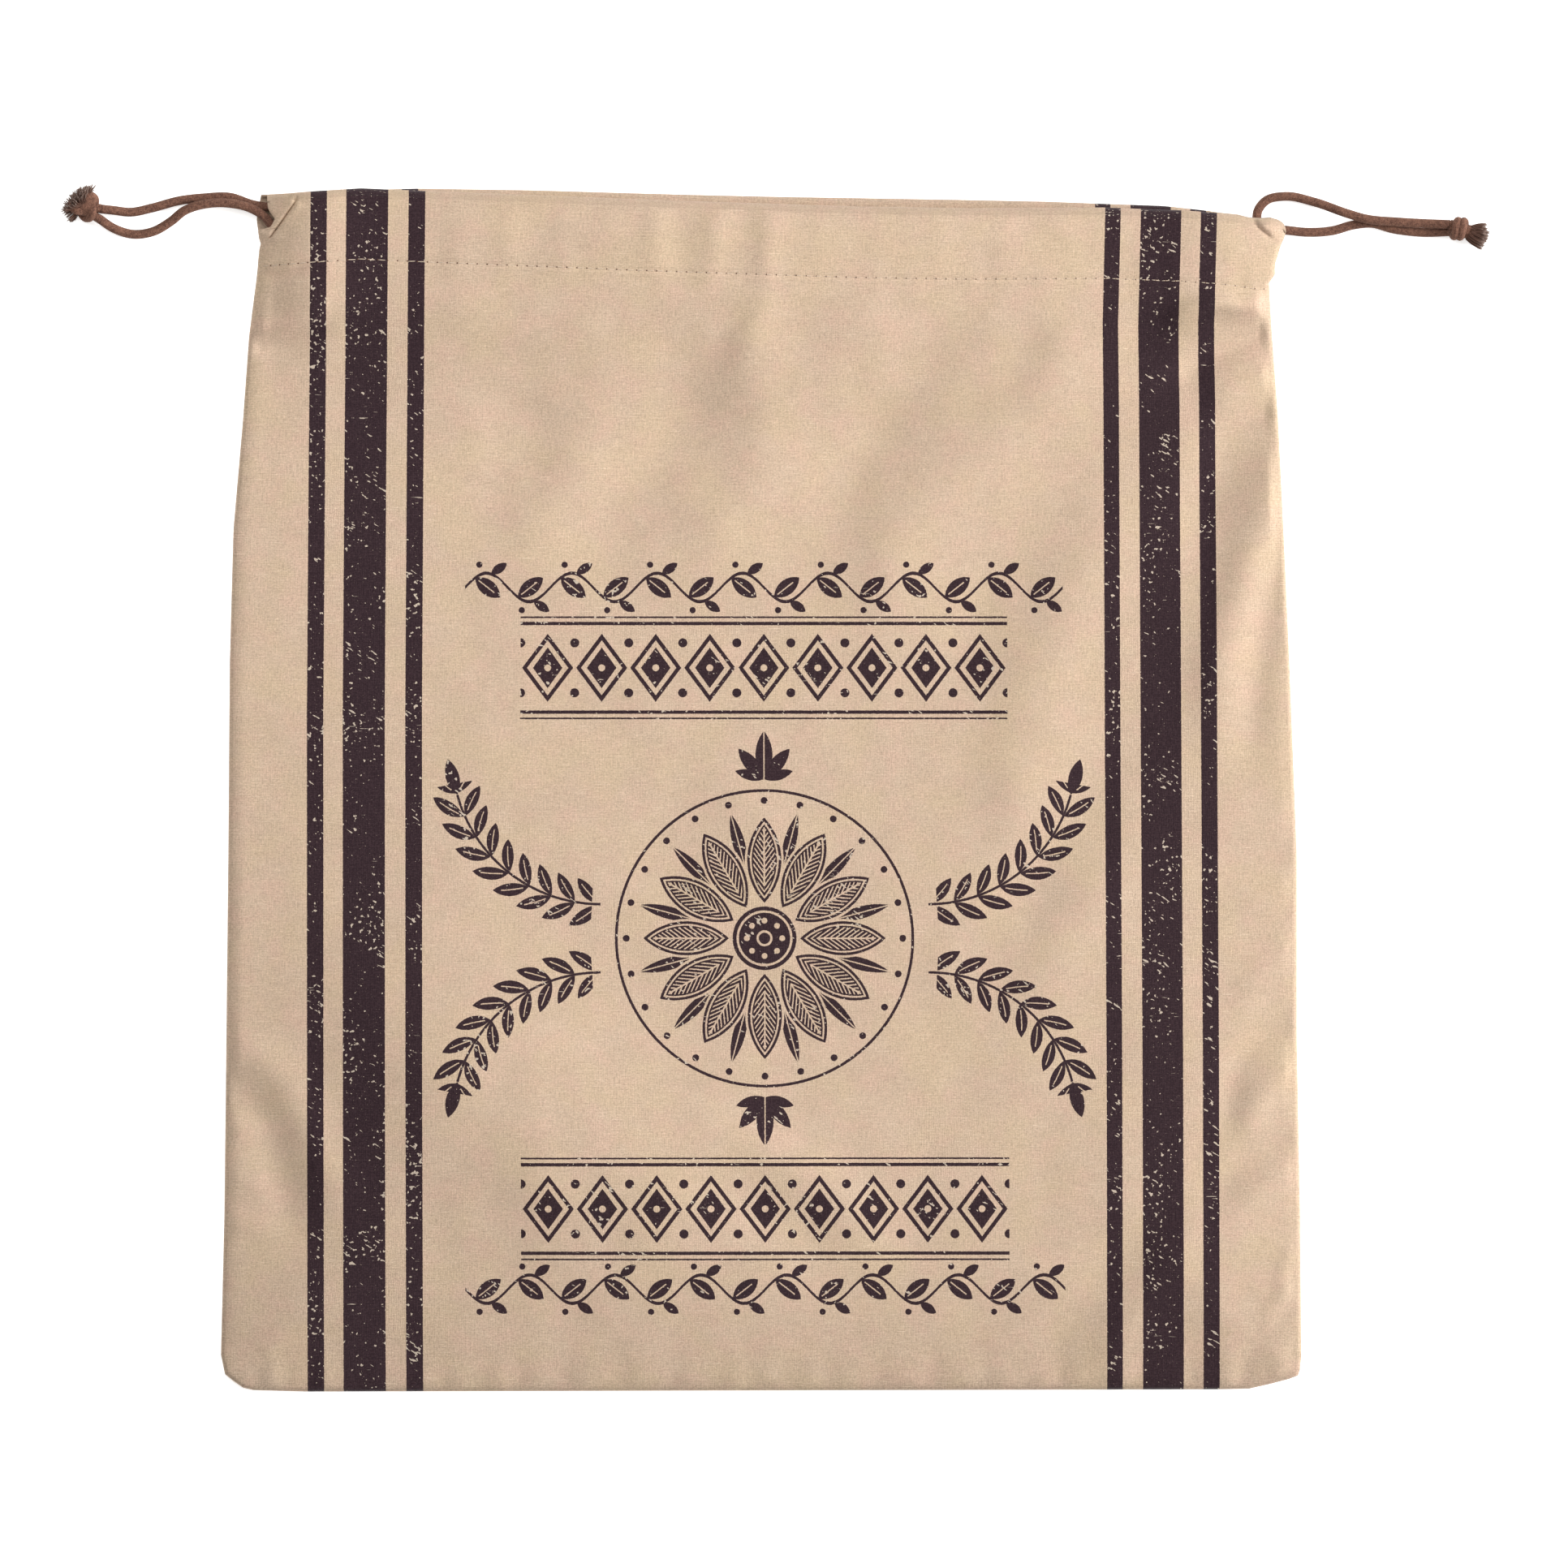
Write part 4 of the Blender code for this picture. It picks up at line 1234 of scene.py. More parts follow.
def step_up(value, low, high):
    """0 below low and 1 above high, softly between. With low above high it falls instead."""
    start, end = (0.0, 1.0) if low < high else (1.0, 0.0)
    limits = {"From Min": min(low, high), "From Max": max(low, high), "To Min": start, "To Max": end}
    settings = {"interpolation_type": "SMOOTHSTEP", "clamp": True}
    node = add_node(value.tree, "ShaderNodeMapRange", {"Value": value, **limits}, **settings)
    return Value(node.outputs["Result"])


def colour_mix(share, low, high):
    inputs = {"Factor": share, MIX_LOW: low, MIX_HIGH: high}
    return add_node(share.tree, "ShaderNodeMix", inputs, data_type="RGBA").outputs[MIX_RESULT]


def noise(place, scale, detail, roughness, stretch=(1, 1, 1), shift=(0, 0, 0)):
    """Noise over a place, with stretch making it finer along an axis."""
    moved = add_node(place.tree, "ShaderNodeMapping", {"Vector": place, "Scale": stretch, "Location": shift})
    values = {"Vector": moved.outputs[0], "Scale": scale, "Detail": detail, "Roughness": roughness}
    return Value(add_node(place.tree, "ShaderNodeTexNoise", values).outputs["Fac"])


def across_and_up(place):
    split = add_node(place.tree, "ShaderNodeSeparateXYZ", {"Vector": place})
    return Value(split.outputs["X"]), Value(split.outputs["Y"])


def new_material(name):
    material = bpy.data.materials.new(name)
    material.use_nodes = True
    return material, material.node_tree, material.node_tree.nodes["Principled BSDF"]


def plain_material(name, colour, roughness):
    material, _, shader = new_material(name)
    shader.inputs["Base Color"].default_value = colour
    shader.inputs["Roughness"].default_value = roughness
    return material


# Weave, from the flat cloth's own coordinates
YARN_PITCH = 0.00052
YARN_SHIFT = 0.0009
SLUB_HEIGHT = 0.7
SLUB_LIMITS = (0.56, 0.78)
GRAIN_SHARE = 0.6

# Noises. Columns: scale, detail, roughness, finer across, up and through, shift
WOBBLE = (260, 1.0, 0.5)
WEFT = (1.0, 2.0, 0.6, (150, 2300, 1))
WARP = (1.0, 1.5, 0.5, (1900, 260, 1), (3, 7, 0))
MOTTLE = (75, 3.0, 0.6)
GRAIN = (1500, 2.0, 0.7, (0.8, 1.2, 1))


def make_weave():
    inputs = [("Place", VECTOR), ("Pitch", NUMBER, YARN_PITCH)]
    outputs = [(label, NUMBER) for label in ("Height", "Slub", "Mottle", "Grain")]
    tree, given, out = new_shader_group("plain_weave", inputs, outputs)
    place, pitch = Value(given["Place"]), given["Pitch"]
    x, y = across_and_up(place)
    shifted = (noise(place, *WOBBLE) - 0.5) * YARN_SHIFT
    wave_across, wave_up = [((axis + shifted) / pitch * math.pi).apply("SINE") for axis in (x, y)]
    over = (wave_across * wave_up + 1.0) * 0.5
    height = abs(wave_across) * (1.0 - over) + abs(wave_up) * over
    weft, warp = noise(place, *WEFT), noise(place, *WARP)
    slub = step_up(weft, *SLUB_LIMITS)
    grain = noise(place, *GRAIN) * GRAIN_SHARE + (weft * 0.5 + warp * 0.5) * (1 - GRAIN_SHARE)
    mottle = noise(place, *MOTTLE)
    height = height + slub * SLUB_HEIGHT
    give_out(tree, out, {"Height": height, "Slub": slub, "Mottle": mottle, "Grain": grain})
    return tree


# Printed stripes and ornament
INK_EDGE = 0.00009


def hypot(a, b):
    return (a * a + b * b).apply("SQRT")


def turned(x, y, degrees):
    """Coordinates seen from axes turned by an angle."""
    c, s = math.cos(math.radians(degrees)), math.sin(math.radians(degrees))
    return x.apply("MULTIPLY_ADD", c, y * s), x.apply("MULTIPLY_ADD", -s, y * c)


def leaf(x, y, size):
    """Distance to a pointed leaf that runs along x, less than 0 inside. Size: length, half width."""
    length, half_width = size
    radius = (half_width**2 + (length / 2) ** 2) / (2 * half_width)
    return hypot(x - length / 2, abs(y) + (radius - half_width)) - radius


def inked(distance):
    """Full ink where a distance is below 0."""
    return step_up(distance, INK_EDGE, -INK_EDGE)


def dot(x, y, radius):
    return inked(hypot(x, y) - radius)


def line_ink(distance, half_width):
    return inked(abs(distance) - half_width)


def within(value, low, high):
    """1 between two values."""
    return line_ink(value - (low + high) / 2, (high - low) / 2)


def without(ink, bare):
    return ink * (1.0 - bare)


def any_of(*inks):
    found = inks[0]
    for ink in inks[1:]:
        found = found.apply("MAXIMUM", ink)
    return found


def make_stripes():
    tree, given, out = new_shader_group("side_stripes", [("Place", VECTOR)], [("Ink", NUMBER)])
    across, _ = across_and_up(Value(given["Place"]))
    inks = [within(across, middle - width / 2, middle + width / 2) for middle, width in STRIPES]
    give_out(tree, out, {"Ink": any_of(*inks)})
    return tree


ORNAMENT_MIDDLE = (0.0007, -0.0522)

# Rosette. Leaves are given as length, half width
PETALS = 12
PETAL_START = 0.0125
PETAL = (0.0300, 0.0060)
PETAL_INLINE = (-0.00155, -0.00095)
PETAL_VEIN = (0.0190, 0.0390)
PETAL_VEIN_HALF = 0.00028
HATCH_PITCH = 0.0021
HATCH_SLOPE = -1.4
HATCH_INSET = 0.0021
HATCH_LIMITS = (0.58, 0.72)
BLADE_START = 0.0240
BLADE = (0.0215, 0.0022)
BLADE_VEIN_HALF = 0.0002
BLADE_GAP = 0.0008
BEADS_AT = 0.0485
BEAD = 0.0012
RING_AT = 0.0520
RING_HALF = 0.0005
SEEDS = 8
SEEDS_AT = 0.0062
SEED = 0.0010
HEART = 0.0112
PALE_RINGS = ((0.0090, 0.0098), (0.0020, 0.0028))


def rosette_ink(x, y):
    """Engraved petals round a seeded middle, in a ring of beads."""
    reach, turn = hypot(x, y), y.apply("ARCTAN2", x)

    def spoke(around, half_wedge):
        """Coordinates along and beside the nearest of evenly turned spokes."""
        near = around.apply("WRAP", half_wedge, -half_wedge)
        return reach * near.apply("COSINE"), reach * near.apply("SINE")

    wedge = math.pi / PETALS
    out, side = spoke(turn, wedge)
    petal = leaf(out - PETAL_START, side, PETAL)
    vein = line_ink(side, PETAL_VEIN_HALF) * within(out, *PETAL_VEIN)
    slant = ((out + abs(side) * HATCH_SLOPE) / HATCH_PITCH).apply("FRACT")
    hatch = step_up(slant, *HATCH_LIMITS) * inked(petal + HATCH_INSET)
    petals = without(inked(petal), any_of(within(petal, *PETAL_INLINE), vein, hatch))
    out, side = spoke(turn + wedge, wedge)
    blade = inked(leaf(out - BLADE_START, side, BLADE))
    blades = without(blade, any_of(inked(petal - BLADE_GAP), line_ink(side, BLADE_VEIN_HALF)))
    out, side = spoke(turn, wedge / 2)
    beads = dot(out - BEADS_AT, side, BEAD)
    ring = line_ink(reach - RING_AT, RING_HALF)
    out, side = spoke(turn, math.pi / SEEDS)
    bare = any_of(dot(out - SEEDS_AT, side, SEED), *[within(reach, *pale) for pale in PALE_RINGS])
    return any_of(petals, blades, beads, ring, without(inked(reach - HEART), bare))


# Sprigs. Leaves are given as length, half width, and the fan's as turn, length, half width
SPRIG_MIDDLE = (0.0575, 0.0640)
SPRIG_RADIUS = 0.0520
SPRIG_LENGTH = 0.0680
STEM_HALF = 0.00045
LEAF_PITCH = 0.0085
LEAF_FROM = (0.0006, 0.0003)
LEAF_TURN = 42
SPRIG_LEAF = (0.0122, 0.0022)
SPRIG_VEIN = (0.0020, 0.0095)
SPRIG_VEIN_HALF = 0.00018
LEAVES_BETWEEN = (0.0030, SPRIG_LENGTH + 0.0040)
TIP_LEAF = (0.0130, 0.0024)
FAN_AT = 0.0560
FAN = ((0, 0.0170, 0.0030), (40, 0.0140, 0.0024), (74, 0.0105, 0.0018))
FAN_VEIN_HALF = 0.0002


def sprig_ink(x, y):
    """Four leafy sprigs that curve out from the rosette, mirrored in turn, and two fans of leaves."""
    across, up = abs(x), abs(y)
    dx, dy = across - SPRIG_MIDDLE[0], up - SPRIG_MIDDLE[1]
    along = (dy.apply("ARCTAN2", dx) + math.pi / 2) * SPRIG_RADIUS
    off = hypot(dx, dy) - SPRIG_RADIUS
    stem = line_ink(off, STEM_HALF) * within(along, 0.0, SPRIG_LENGTH)
    cell = along.apply("WRAP", LEAF_PITCH, 0.0)
    leaves = []
    for back in (0.0, LEAF_PITCH):
        leaf_x, leaf_y = turned(cell + (back - LEAF_FROM[0]), abs(off) - LEAF_FROM[1], LEAF_TURN)
        vein = line_ink(leaf_y, SPRIG_VEIN_HALF) * within(leaf_x, *SPRIG_VEIN)
        leaves.append(without(inked(leaf(leaf_x, leaf_y, SPRIG_LEAF)), vein))
    grown = any_of(*leaves) * within(along, *LEAVES_BETWEEN)
    turn = SPRIG_LENGTH / SPRIG_RADIUS
    end_x = SPRIG_MIDDLE[0] + SPRIG_RADIUS * math.sin(turn)
    end_y = SPRIG_MIDDLE[1] - SPRIG_RADIUS * math.cos(turn)
    tip = inked(leaf(*turned(across - end_x, up - end_y, math.degrees(turn)), TIP_LEAF))
    fan = [inked(leaf(*turned(up - FAN_AT, across, lean), size)) for lean, *size in FAN]
    return any_of(stem, grown, tip, without(any_of(*fan), line_ink(across, FAN_VEIN_HALF)))


# Lozenges, given as half width, half height
LOZENGE_PITCH = 0.0190
LOZENGES_UP = 0.0952
LOZENGES_HALF = 0.0856
LOZENGE_RING = (0.0090, 0.0120)
LOZENGE_RING_HALF = 0.0007
LOZENGE_HEART = (0.0052, 0.0072)
HEART_DOT = 0.0012
CORNER_DOT = 0.0016
CORNER_DOT_UP = 0.0088
RULES = ((0.0150, 0.0162), (0.0175, 0.0181))


def lozenge(x, y, size):
    half_width, half_height = size
    diagonal = math.hypot(half_width, half_height)
    slanted = x.apply("MULTIPLY_ADD", half_height / diagonal, y * (half_width / diagonal))
    return slanted - half_width * half_height / diagonal


def lozenge_band_ink(x, y):
    """Two straight chains of lozenges between rules, one above the rosette and one below."""
    up = abs(abs(y) - LOZENGES_UP)
    cell = abs(x.apply("WRAP", LOZENGE_PITCH / 2, -LOZENGE_PITCH / 2))
    ring = line_ink(lozenge(cell, up, LOZENGE_RING) + LOZENGE_RING_HALF, LOZENGE_RING_HALF)
    heart = without(inked(lozenge(cell, up, LOZENGE_HEART)), dot(cell, up, HEART_DOT))
    corner = dot(cell - LOZENGE_PITCH / 2, up - CORNER_DOT_UP, CORNER_DOT)
    rules = [within(up, *rule) for rule in RULES]
    return any_of(ring, heart, corner, *rules) * within(x, -LOZENGES_HALF, LOZENGES_HALF)


# Running stems. Leaves are given as where they start, turn, and length with half width
STEMS_UP = 0.1235
STEMS_HALF = 0.1052
BEND_LENGTH = 0.01503
BEND_HEIGHT = 0.0050
RUNNING_STEM_HALF = 0.00060
LARGE_LEAF = ((0.0036, 0.0034), -38, (0.0112, 0.0027))
LARGE_VEIN = (0.0015, 0.0085)
LARGE_VEIN_HALF = 0.0002
SMALL_LEAF = ((0.0092, 0.0048), 34, (0.0066, 0.0016))
BUD_AT = (0.0050, 0.0080)
BUD = 0.0011


def stem_band_ink(x, y):
    """Two running stems with leaves and a bud in each bend, outside the lozenges."""
    start = x + STEMS_HALF
    odd = (start / (2 * BEND_LENGTH)).apply("FRACT").apply("GREATER_THAN", 0.5)
    up = (abs(y) - STEMS_UP) * (1.0 - odd * 2.0)
    cell = start.apply("WRAP", BEND_LENGTH, 0.0)
    wave = (cell * (math.pi / BEND_LENGTH)).apply("SINE") * BEND_HEIGHT
    stem = line_ink(up - wave, RUNNING_STEM_HALF)
    (left, low), turn, size = LARGE_LEAF
    leaf_x, leaf_y = turned(cell - left, up - low, turn)
    vein = line_ink(leaf_y, LARGE_VEIN_HALF) * within(leaf_x, *LARGE_VEIN)
    large = without(inked(leaf(leaf_x, leaf_y, size)), vein)
    (left, low), turn, size = SMALL_LEAF
    small = inked(leaf(*turned(cell - left, up - low, turn), size))
    bud = dot(cell - BUD_AT[0], up - BUD_AT[1], BUD)
    return any_of(stem, large, small, bud) * within(x, -STEMS_HALF, STEMS_HALF)


def make_ornament():
    tree, given, out = new_shader_group("leaf_ornament", [("Place", VECTOR)], [("Ink", NUMBER)])
    x, y = across_and_up(Value(given["Place"]))
    x, y = x - ORNAMENT_MIDDLE[0], y - ORNAMENT_MIDDLE[1]
    inks = [draw(x, y) for draw in (rosette_ink, sprig_ink, lozenge_band_ink, stem_band_ink)]
    give_out(tree, out, {"Ink": any_of(*inks)})
    return tree


# Rough edges and wear of the print
RAGGED_SIZE = 0.0003
RAGGED = {"Scale": 1300, "Detail": 2.0, "Roughness": 0.6}
PATCHES = (26, 2.0, 0.6, (1.6, 1, 1))
BLOTS = (620, 1.6, 0.55)
STREAK_PATCHES = (1.0, 1.0, 0.5, (22, 70, 1), (31, 2, 0))
STREAKS = (1.0, 2.0, 0.7, (130, 1500, 1), (11, 5, 0))
CLUSTERS = (60, 2.0, 0.6, (1, 1, 1), (2, 8, 0))
DASHES = (1.0, 1.6, 0.55, (300, 900, 1), (7, 3, 0))
DASH_LEAN = 0.6
CHUNKS = (330, 3.0, 0.7, (0.9, 1.2, 1), (6, 6, 0))
DUST = (1900, 1.0, 0.5, (1, 1, 1), (5, 9, 0))
DUST_SHARE = 0.6
SIDE_BIAS = 0.09
WORN_SHARE = 0.93
WORN_EDGE = 0.02
PATCH_LIMITS = (0.42, 0.66)
STREAK_PATCH_LIMITS = (0.46, 0.68)
CLUSTER_LIMITS = (0.46, 0.66)
DUST_LIMITS = (0.74, 0.78)

# What is worn away. Columns: limit of the noise, how far a patch lowers it
BLOTS_WORN = (0.715, 0.11)
DASHES_WORN = (0.735, 0.12)
CHUNKS_WORN = (0.76, 0.10)
STREAKS_WORN = (0.78, 0.12)


def make_ragged():
    """Shifts a place a little, so that a print's edges come out rough."""
    inputs = [("Place", VECTOR), ("Size", NUMBER, RAGGED_SIZE)]
    tree, given, out = new_shader_group("ragged_place", inputs, [("Place", VECTOR)])

    def vector(operation, inputs):
        return add_node(tree, "ShaderNodeVectorMath", inputs, operation=operation).outputs[0]

    place = given["Place"]
    made = add_node(tree, "ShaderNodeTexNoise", {"Vector": place, **RAGGED})
    centred = vector("SUBTRACT", {0: made.outputs["Color"], 1: (0.5, 0.5, 0.5)})
    sized = vector("SCALE", {0: centred, "Scale": given["Size"]})
    give_out(tree, out, {"Place": vector("ADD", {0: place, 1: sized})})
    return tree


def worn_away(grain, patch, limit, reach):
    """1 where a noise passes a limit, which a patch lowers by up to reach."""
    return step_up(grain - patch.apply("MULTIPLY_ADD", -reach, limit), 0.0, WORN_EDGE)


def make_wear():
    """Specks, dashes, chunks and sideways scratches where ink has come away, thicker in patches."""
    inputs = [("Ink", NUMBER, 0.0), ("Place", VECTOR)]
    tree, given, out = new_shader_group("worn_ink", inputs, [("Ink", NUMBER), ("Worn", NUMBER)])
    ink, place = Value(given["Ink"]), Value(given["Place"])
    across, _ = across_and_up(place)
    rotated = add_node(tree, "ShaderNodeVectorRotate", {"Vector": place, "Angle": DASH_LEAN})
    leaning = Value(rotated.outputs[0])
    patch = step_up(noise(place, *PATCHES), *PATCH_LIMITS)
    streak_patch = step_up(noise(place, *STREAK_PATCHES), *STREAK_PATCH_LIMITS)
    cluster = step_up(noise(place, *CLUSTERS), *CLUSTER_LIMITS)
    blot_limit, blot_reach = BLOTS_WORN
    blot_limit = across.apply("MULTIPLY_ADD", SIDE_BIAS, blot_limit)
    worn = any_of(
        worn_away(noise(place, *BLOTS), patch, blot_limit, blot_reach),
        worn_away(noise(leaning, *DASHES), cluster, *DASHES_WORN),
        worn_away(noise(place, *CHUNKS), cluster, *CHUNKS_WORN),
        worn_away(noise(place, *STREAKS), streak_patch, *STREAKS_WORN),
        step_up(noise(place, *DUST), *DUST_LIMITS) * DUST_SHARE,
    )
    give_out(tree, out, {"Ink": ink * (1.0 - worn * WORN_SHARE), "Worn": ink * worn})
    return tree


GROUPS = {
    "weave": make_weave(),
    "stripes": make_stripes(),
    "ornament": make_ornament(),
    "ragged": make_ragged(),
    "wear": make_wear(),
}


def use_group(tree, key, inputs):
    return add_node(tree, "ShaderNodeGroup", inputs, node_tree=GROUPS[key]).outputs


def attribute(tree, name):
    return Value(add_node(tree, "ShaderNodeAttribute", attribute_name=name).outputs["Fac"])


def flat_coordinates(tree):
    return Value(add_node(tree, "ShaderNodeUVMap", uv_map="flat").outputs["UV"])


def object_coordinates(tree):
    return Value(add_node(tree, "ShaderNodeTexCoord").outputs["Object"])


def roughen(tree, shader, height, strength, distance):
    inputs = {"Strength": strength, "Distance": distance, "Height": height}
    relief = add_node(tree, "ShaderNodeBump", inputs)
    tree.links.new(relief.outputs["Normal"], shader.inputs["Normal"])


# Noises of the finishes
PINK_PATCHES = (95, 2.0, 0.6, (1, 1, 1), (4, 4, 0))
YELLOW_PATCHES = (40, 3.0, 0.6, (1, 1, 1), (9, 2, 0))
PATCH_SHARE = 0.60
SLUB_SHARE = 0.55
GRAIN_CONTRAST = 1.55
WORN_PALE_SHARE = 0.55
CORD_FUZZ = (2300, 3.0, 0.75)
CORD_PATCHES = (260, 2.0, 0.5)
BRAID_TURNS = 8 * math.pi
BRAID_PITCH = 0.0030
YARN_STREAKS = (1600, 2.0, 0.6)

# Where each noise starts to show and where it is full
MOTTLE_LIMITS = (0.30, 0.70)
PINK_LIMITS = (0.40, 0.70)
YELLOW_LIMITS = (0.42, 0.66)
FADED_LIMITS = (0.42, 0.62)
CORD_LIMITS = (0.36, 0.68)
YARN_LIMITS = (0.3, 0.9)

# Shares and heights of the finishes. Relief: strength, height
FUZZ_SHARE = 0.80
BRAID_TONE = 0.025
BRAID_HEIGHT = 0.35
FUZZ_HEIGHT = 1.2
ALONG_SHARE = 0.6
ALONG_POWER = 3.0
WEAVE_RELIEF = (0.55, 0.00016)
FELT_RELIEF = (0.7, 0.00025)


def cotton_colour(tree, place, weave):
    """Uneven unbleached cotton, with painted shade towards the bottom, in the lower left corner and along
    the edges.
    """
    colour = colour_mix(step_up(Value(weave["Mottle"]), *MOTTLE_LIMITS), COTTON_DARK, COTTON_LIGHT)
    pink = step_up(noise(place, *PINK_PATCHES), *PINK_LIMITS)
    colour = colour_mix(pink * PATCH_SHARE, colour, COTTON_PINK)
    yellow = step_up(noise(place, *YELLOW_PATCHES), *YELLOW_LIMITS)
    colour = colour_mix(yellow * PATCH_SHARE, colour, COTTON_YELLOW)
    colour = colour_mix(Value(weave["Slub"]) * SLUB_SHARE, colour, SLUB_PALE)
    x, y = across_and_up(place)
    # Painted shade: darker towards the bottom and in the lower left corner
    low = step_up(y, BOTTOM_PAINTED_SHADE_TOP, BOTTOM_PAINTED_SHADE_END)
    corner = step_up(x, *CORNER_PAINTED_SHADE_ACROSS) * step_up(y, *CORNER_PAINTED_SHADE_UP)
    painted_shade = low * BOTTOM_PAINTED_SHADE + corner * CORNER_PAINTED_SHADE
    grain = Value(weave["Grain"]) - 0.5
    value_before_edge_shade = grain.apply("MULTIPLY_ADD", GRAIN_CONTRAST, 1.0) - painted_shade
    # Painted shade along the folded top edge and the seams, read from the edge_shade attribute
    value = attribute(tree, "edge_shade").apply("MULTIPLY_ADD", -EDGE_PAINTED_SHADE, value_before_edge_shade)
    return add_node(tree, "ShaderNodeHueSaturation", {"Color": colour, "Value": value}).outputs["Color"]


def cotton_material(name, printed):
    """Unbleached cotton. printed names the groups that ink its outer face."""
    material, tree, shader = new_material(name)
    place = flat_coordinates(tree)
    weave = use_group(tree, "weave", {"Place": place})
    colour = cotton_colour(tree, place, weave)
    if printed:
        ragged = use_group(tree, "ragged", {"Place": place})["Place"]
        inks = [Value(use_group(tree, key, {"Place": ragged})["Ink"]) for key in printed]
        wear = use_group(tree, "wear", {"Ink": any_of(*inks), "Place": place})
        ink, worn = Value(wear["Ink"]), Value(wear["Worn"])
        faded = step_up(Value(weave["Grain"]), *FADED_LIMITS)
        ink_colour = colour_mix(faded, INK_DARK, INK_FADED)
        colour = colour_mix(ink, colour_mix(worn * WORN_PALE_SHARE, colour, WORN_SPECK), ink_colour)
        connect(tree, ink.apply("MULTIPLY_ADD", -INK_SMOOTHS, COTTON_ROUGHNESS), shader.inputs["Roughness"])
    else:
        shader.inputs["Roughness"].default_value = COTTON_ROUGHNESS
    tree.links.new(colour, shader.inputs["Base Color"])
    shader.inputs["Specular IOR Level"].default_value = COTTON_SPECULAR
    shader.inputs["Sheen Weight"].default_value = COTTON_SHEEN
    shader.inputs["Sheen Roughness"].default_value = SHEEN_ROUGHNESS
    roughen(tree, shader, weave["Height"], *WEAVE_RELIEF)
    return material


def cord_material():
    """Brown cotton cord with a felted face over a fine braid."""
    material, tree, shader = new_material("brown_cord_felt")
    x, y = across_and_up(flat_coordinates(tree))
    around, along = x * BRAID_TURNS, y * (math.tau / BRAID_PITCH)
    braid = (around + along).apply("SINE").apply("MAXIMUM", (around - along).apply("SINE"))
    solid = object_coordinates(tree)
    fuzz = noise(solid, *CORD_FUZZ)
    share = fuzz * FUZZ_SHARE + noise(solid, *CORD_PATCHES) * (1 - FUZZ_SHARE)
    tone = step_up(braid.apply("MULTIPLY_ADD", BRAID_TONE, share), *CORD_LIMITS)
    tree.links.new(colour_mix(tone, CORD_DARK, CORD_BROWN), shader.inputs["Base Color"])
    shader.inputs["Roughness"].default_value = COTTON_ROUGHNESS
    shader.inputs["Specular IOR Level"].default_value = COTTON_SPECULAR
    shader.inputs["Sheen Weight"].default_value = CORD_SHEEN
    shader.inputs["Sheen Roughness"].default_value = SHEEN_ROUGHNESS
    shader.inputs["Sheen Tint"].default_value = CORD_SHEEN_TINT
    roughen(tree, shader, braid * BRAID_HEIGHT + fuzz * FUZZ_HEIGHT, *FELT_RELIEF)
    return material


def yarn_material(name, root, tip, along_name=None):
    """Loose yarn, paler towards its tips where along_name says how far along it each place is."""
    material, tree, shader = new_material(name)
    share = noise(object_coordinates(tree), *YARN_STREAKS)
    if along_name:
        share = share * (1 - ALONG_SHARE) + attribute(tree, along_name) ** ALONG_POWER * ALONG_SHARE
    tree.links.new(colour_mix(step_up(share, *YARN_LIMITS), root, tip), shader.inputs["Base Color"])
    shader.inputs["Roughness"].default_value = YARN_ROUGHNESS
    shader.inputs["Specular IOR Level"].default_value = YARN_SPECULAR
    return material


# Geometry node trees
def new_shape_tree(name, inputs):
    return new_tree(name, "GeometryNodeTree", [("Geometry", SHAPE), *inputs], [("Geometry", SHAPE)])


def finish_shape_tree(tree, geometry, material, out):
    real = add_node(tree, "GeometryNodeRealizeInstances", {"Geometry": geometry})
    smooth = add_node(tree, "GeometryNodeSetShadeSmooth", {"Geometry": real.outputs[0]})
    inputs = {"Geometry": smooth.outputs[0], "Material": material}
    painted = add_node(tree, "GeometryNodeSetMaterial", inputs)
    tree.links.new(painted.outputs[0], out["Geometry"])


def grow(obj, tree, values):
    """Runs a geometry tree on a piece with its own values, and keeps the result as plain mesh."""
    modifier = obj.modifiers.new(tree.name, "NODES")
    modifier.node_group = tree
    sockets = {s.name: s.identifier for s in tree.interface.items_tree if s.in_out == "INPUT"}
    for label, value in values.items():
        modifier[sockets[label]] = value
    return evaluated(obj)


def combined(tree, x=0.0, y=0.0, z=0.0):
    return add_node(tree, "ShaderNodeCombineXYZ", {"X": x, "Y": y, "Z": z}).outputs[0]


def tilted(tree, rotation, most, seed):
    """A rotation turned by chance about its own axes, by most at most each way."""
    limits = {"Min": tuple(-angle for angle in most), "Max": most, "Seed": seed}
    chance = add_node(tree, "FunctionNodeRandomValue", limits, data_type="FLOAT_VECTOR")
    turns = {"Rotation": rotation, "Rotate By": chance.outputs[0]}
    return add_node(tree, "FunctionNodeRotateRotation", turns, rotation_space="LOCAL").outputs[0]


def aimed(tree, vector, axis):
    return add_node(tree, "FunctionNodeAlignRotationToVector", {"Vector": vector}, axis=axis).outputs[0]


def scattered(tree, points, instance, rotation, **more):
    inputs = {"Points": points, "Instance": instance, "Rotation": rotation, **more}
    return add_node(tree, "GeometryNodeInstanceOnPoints", inputs).outputs[0]


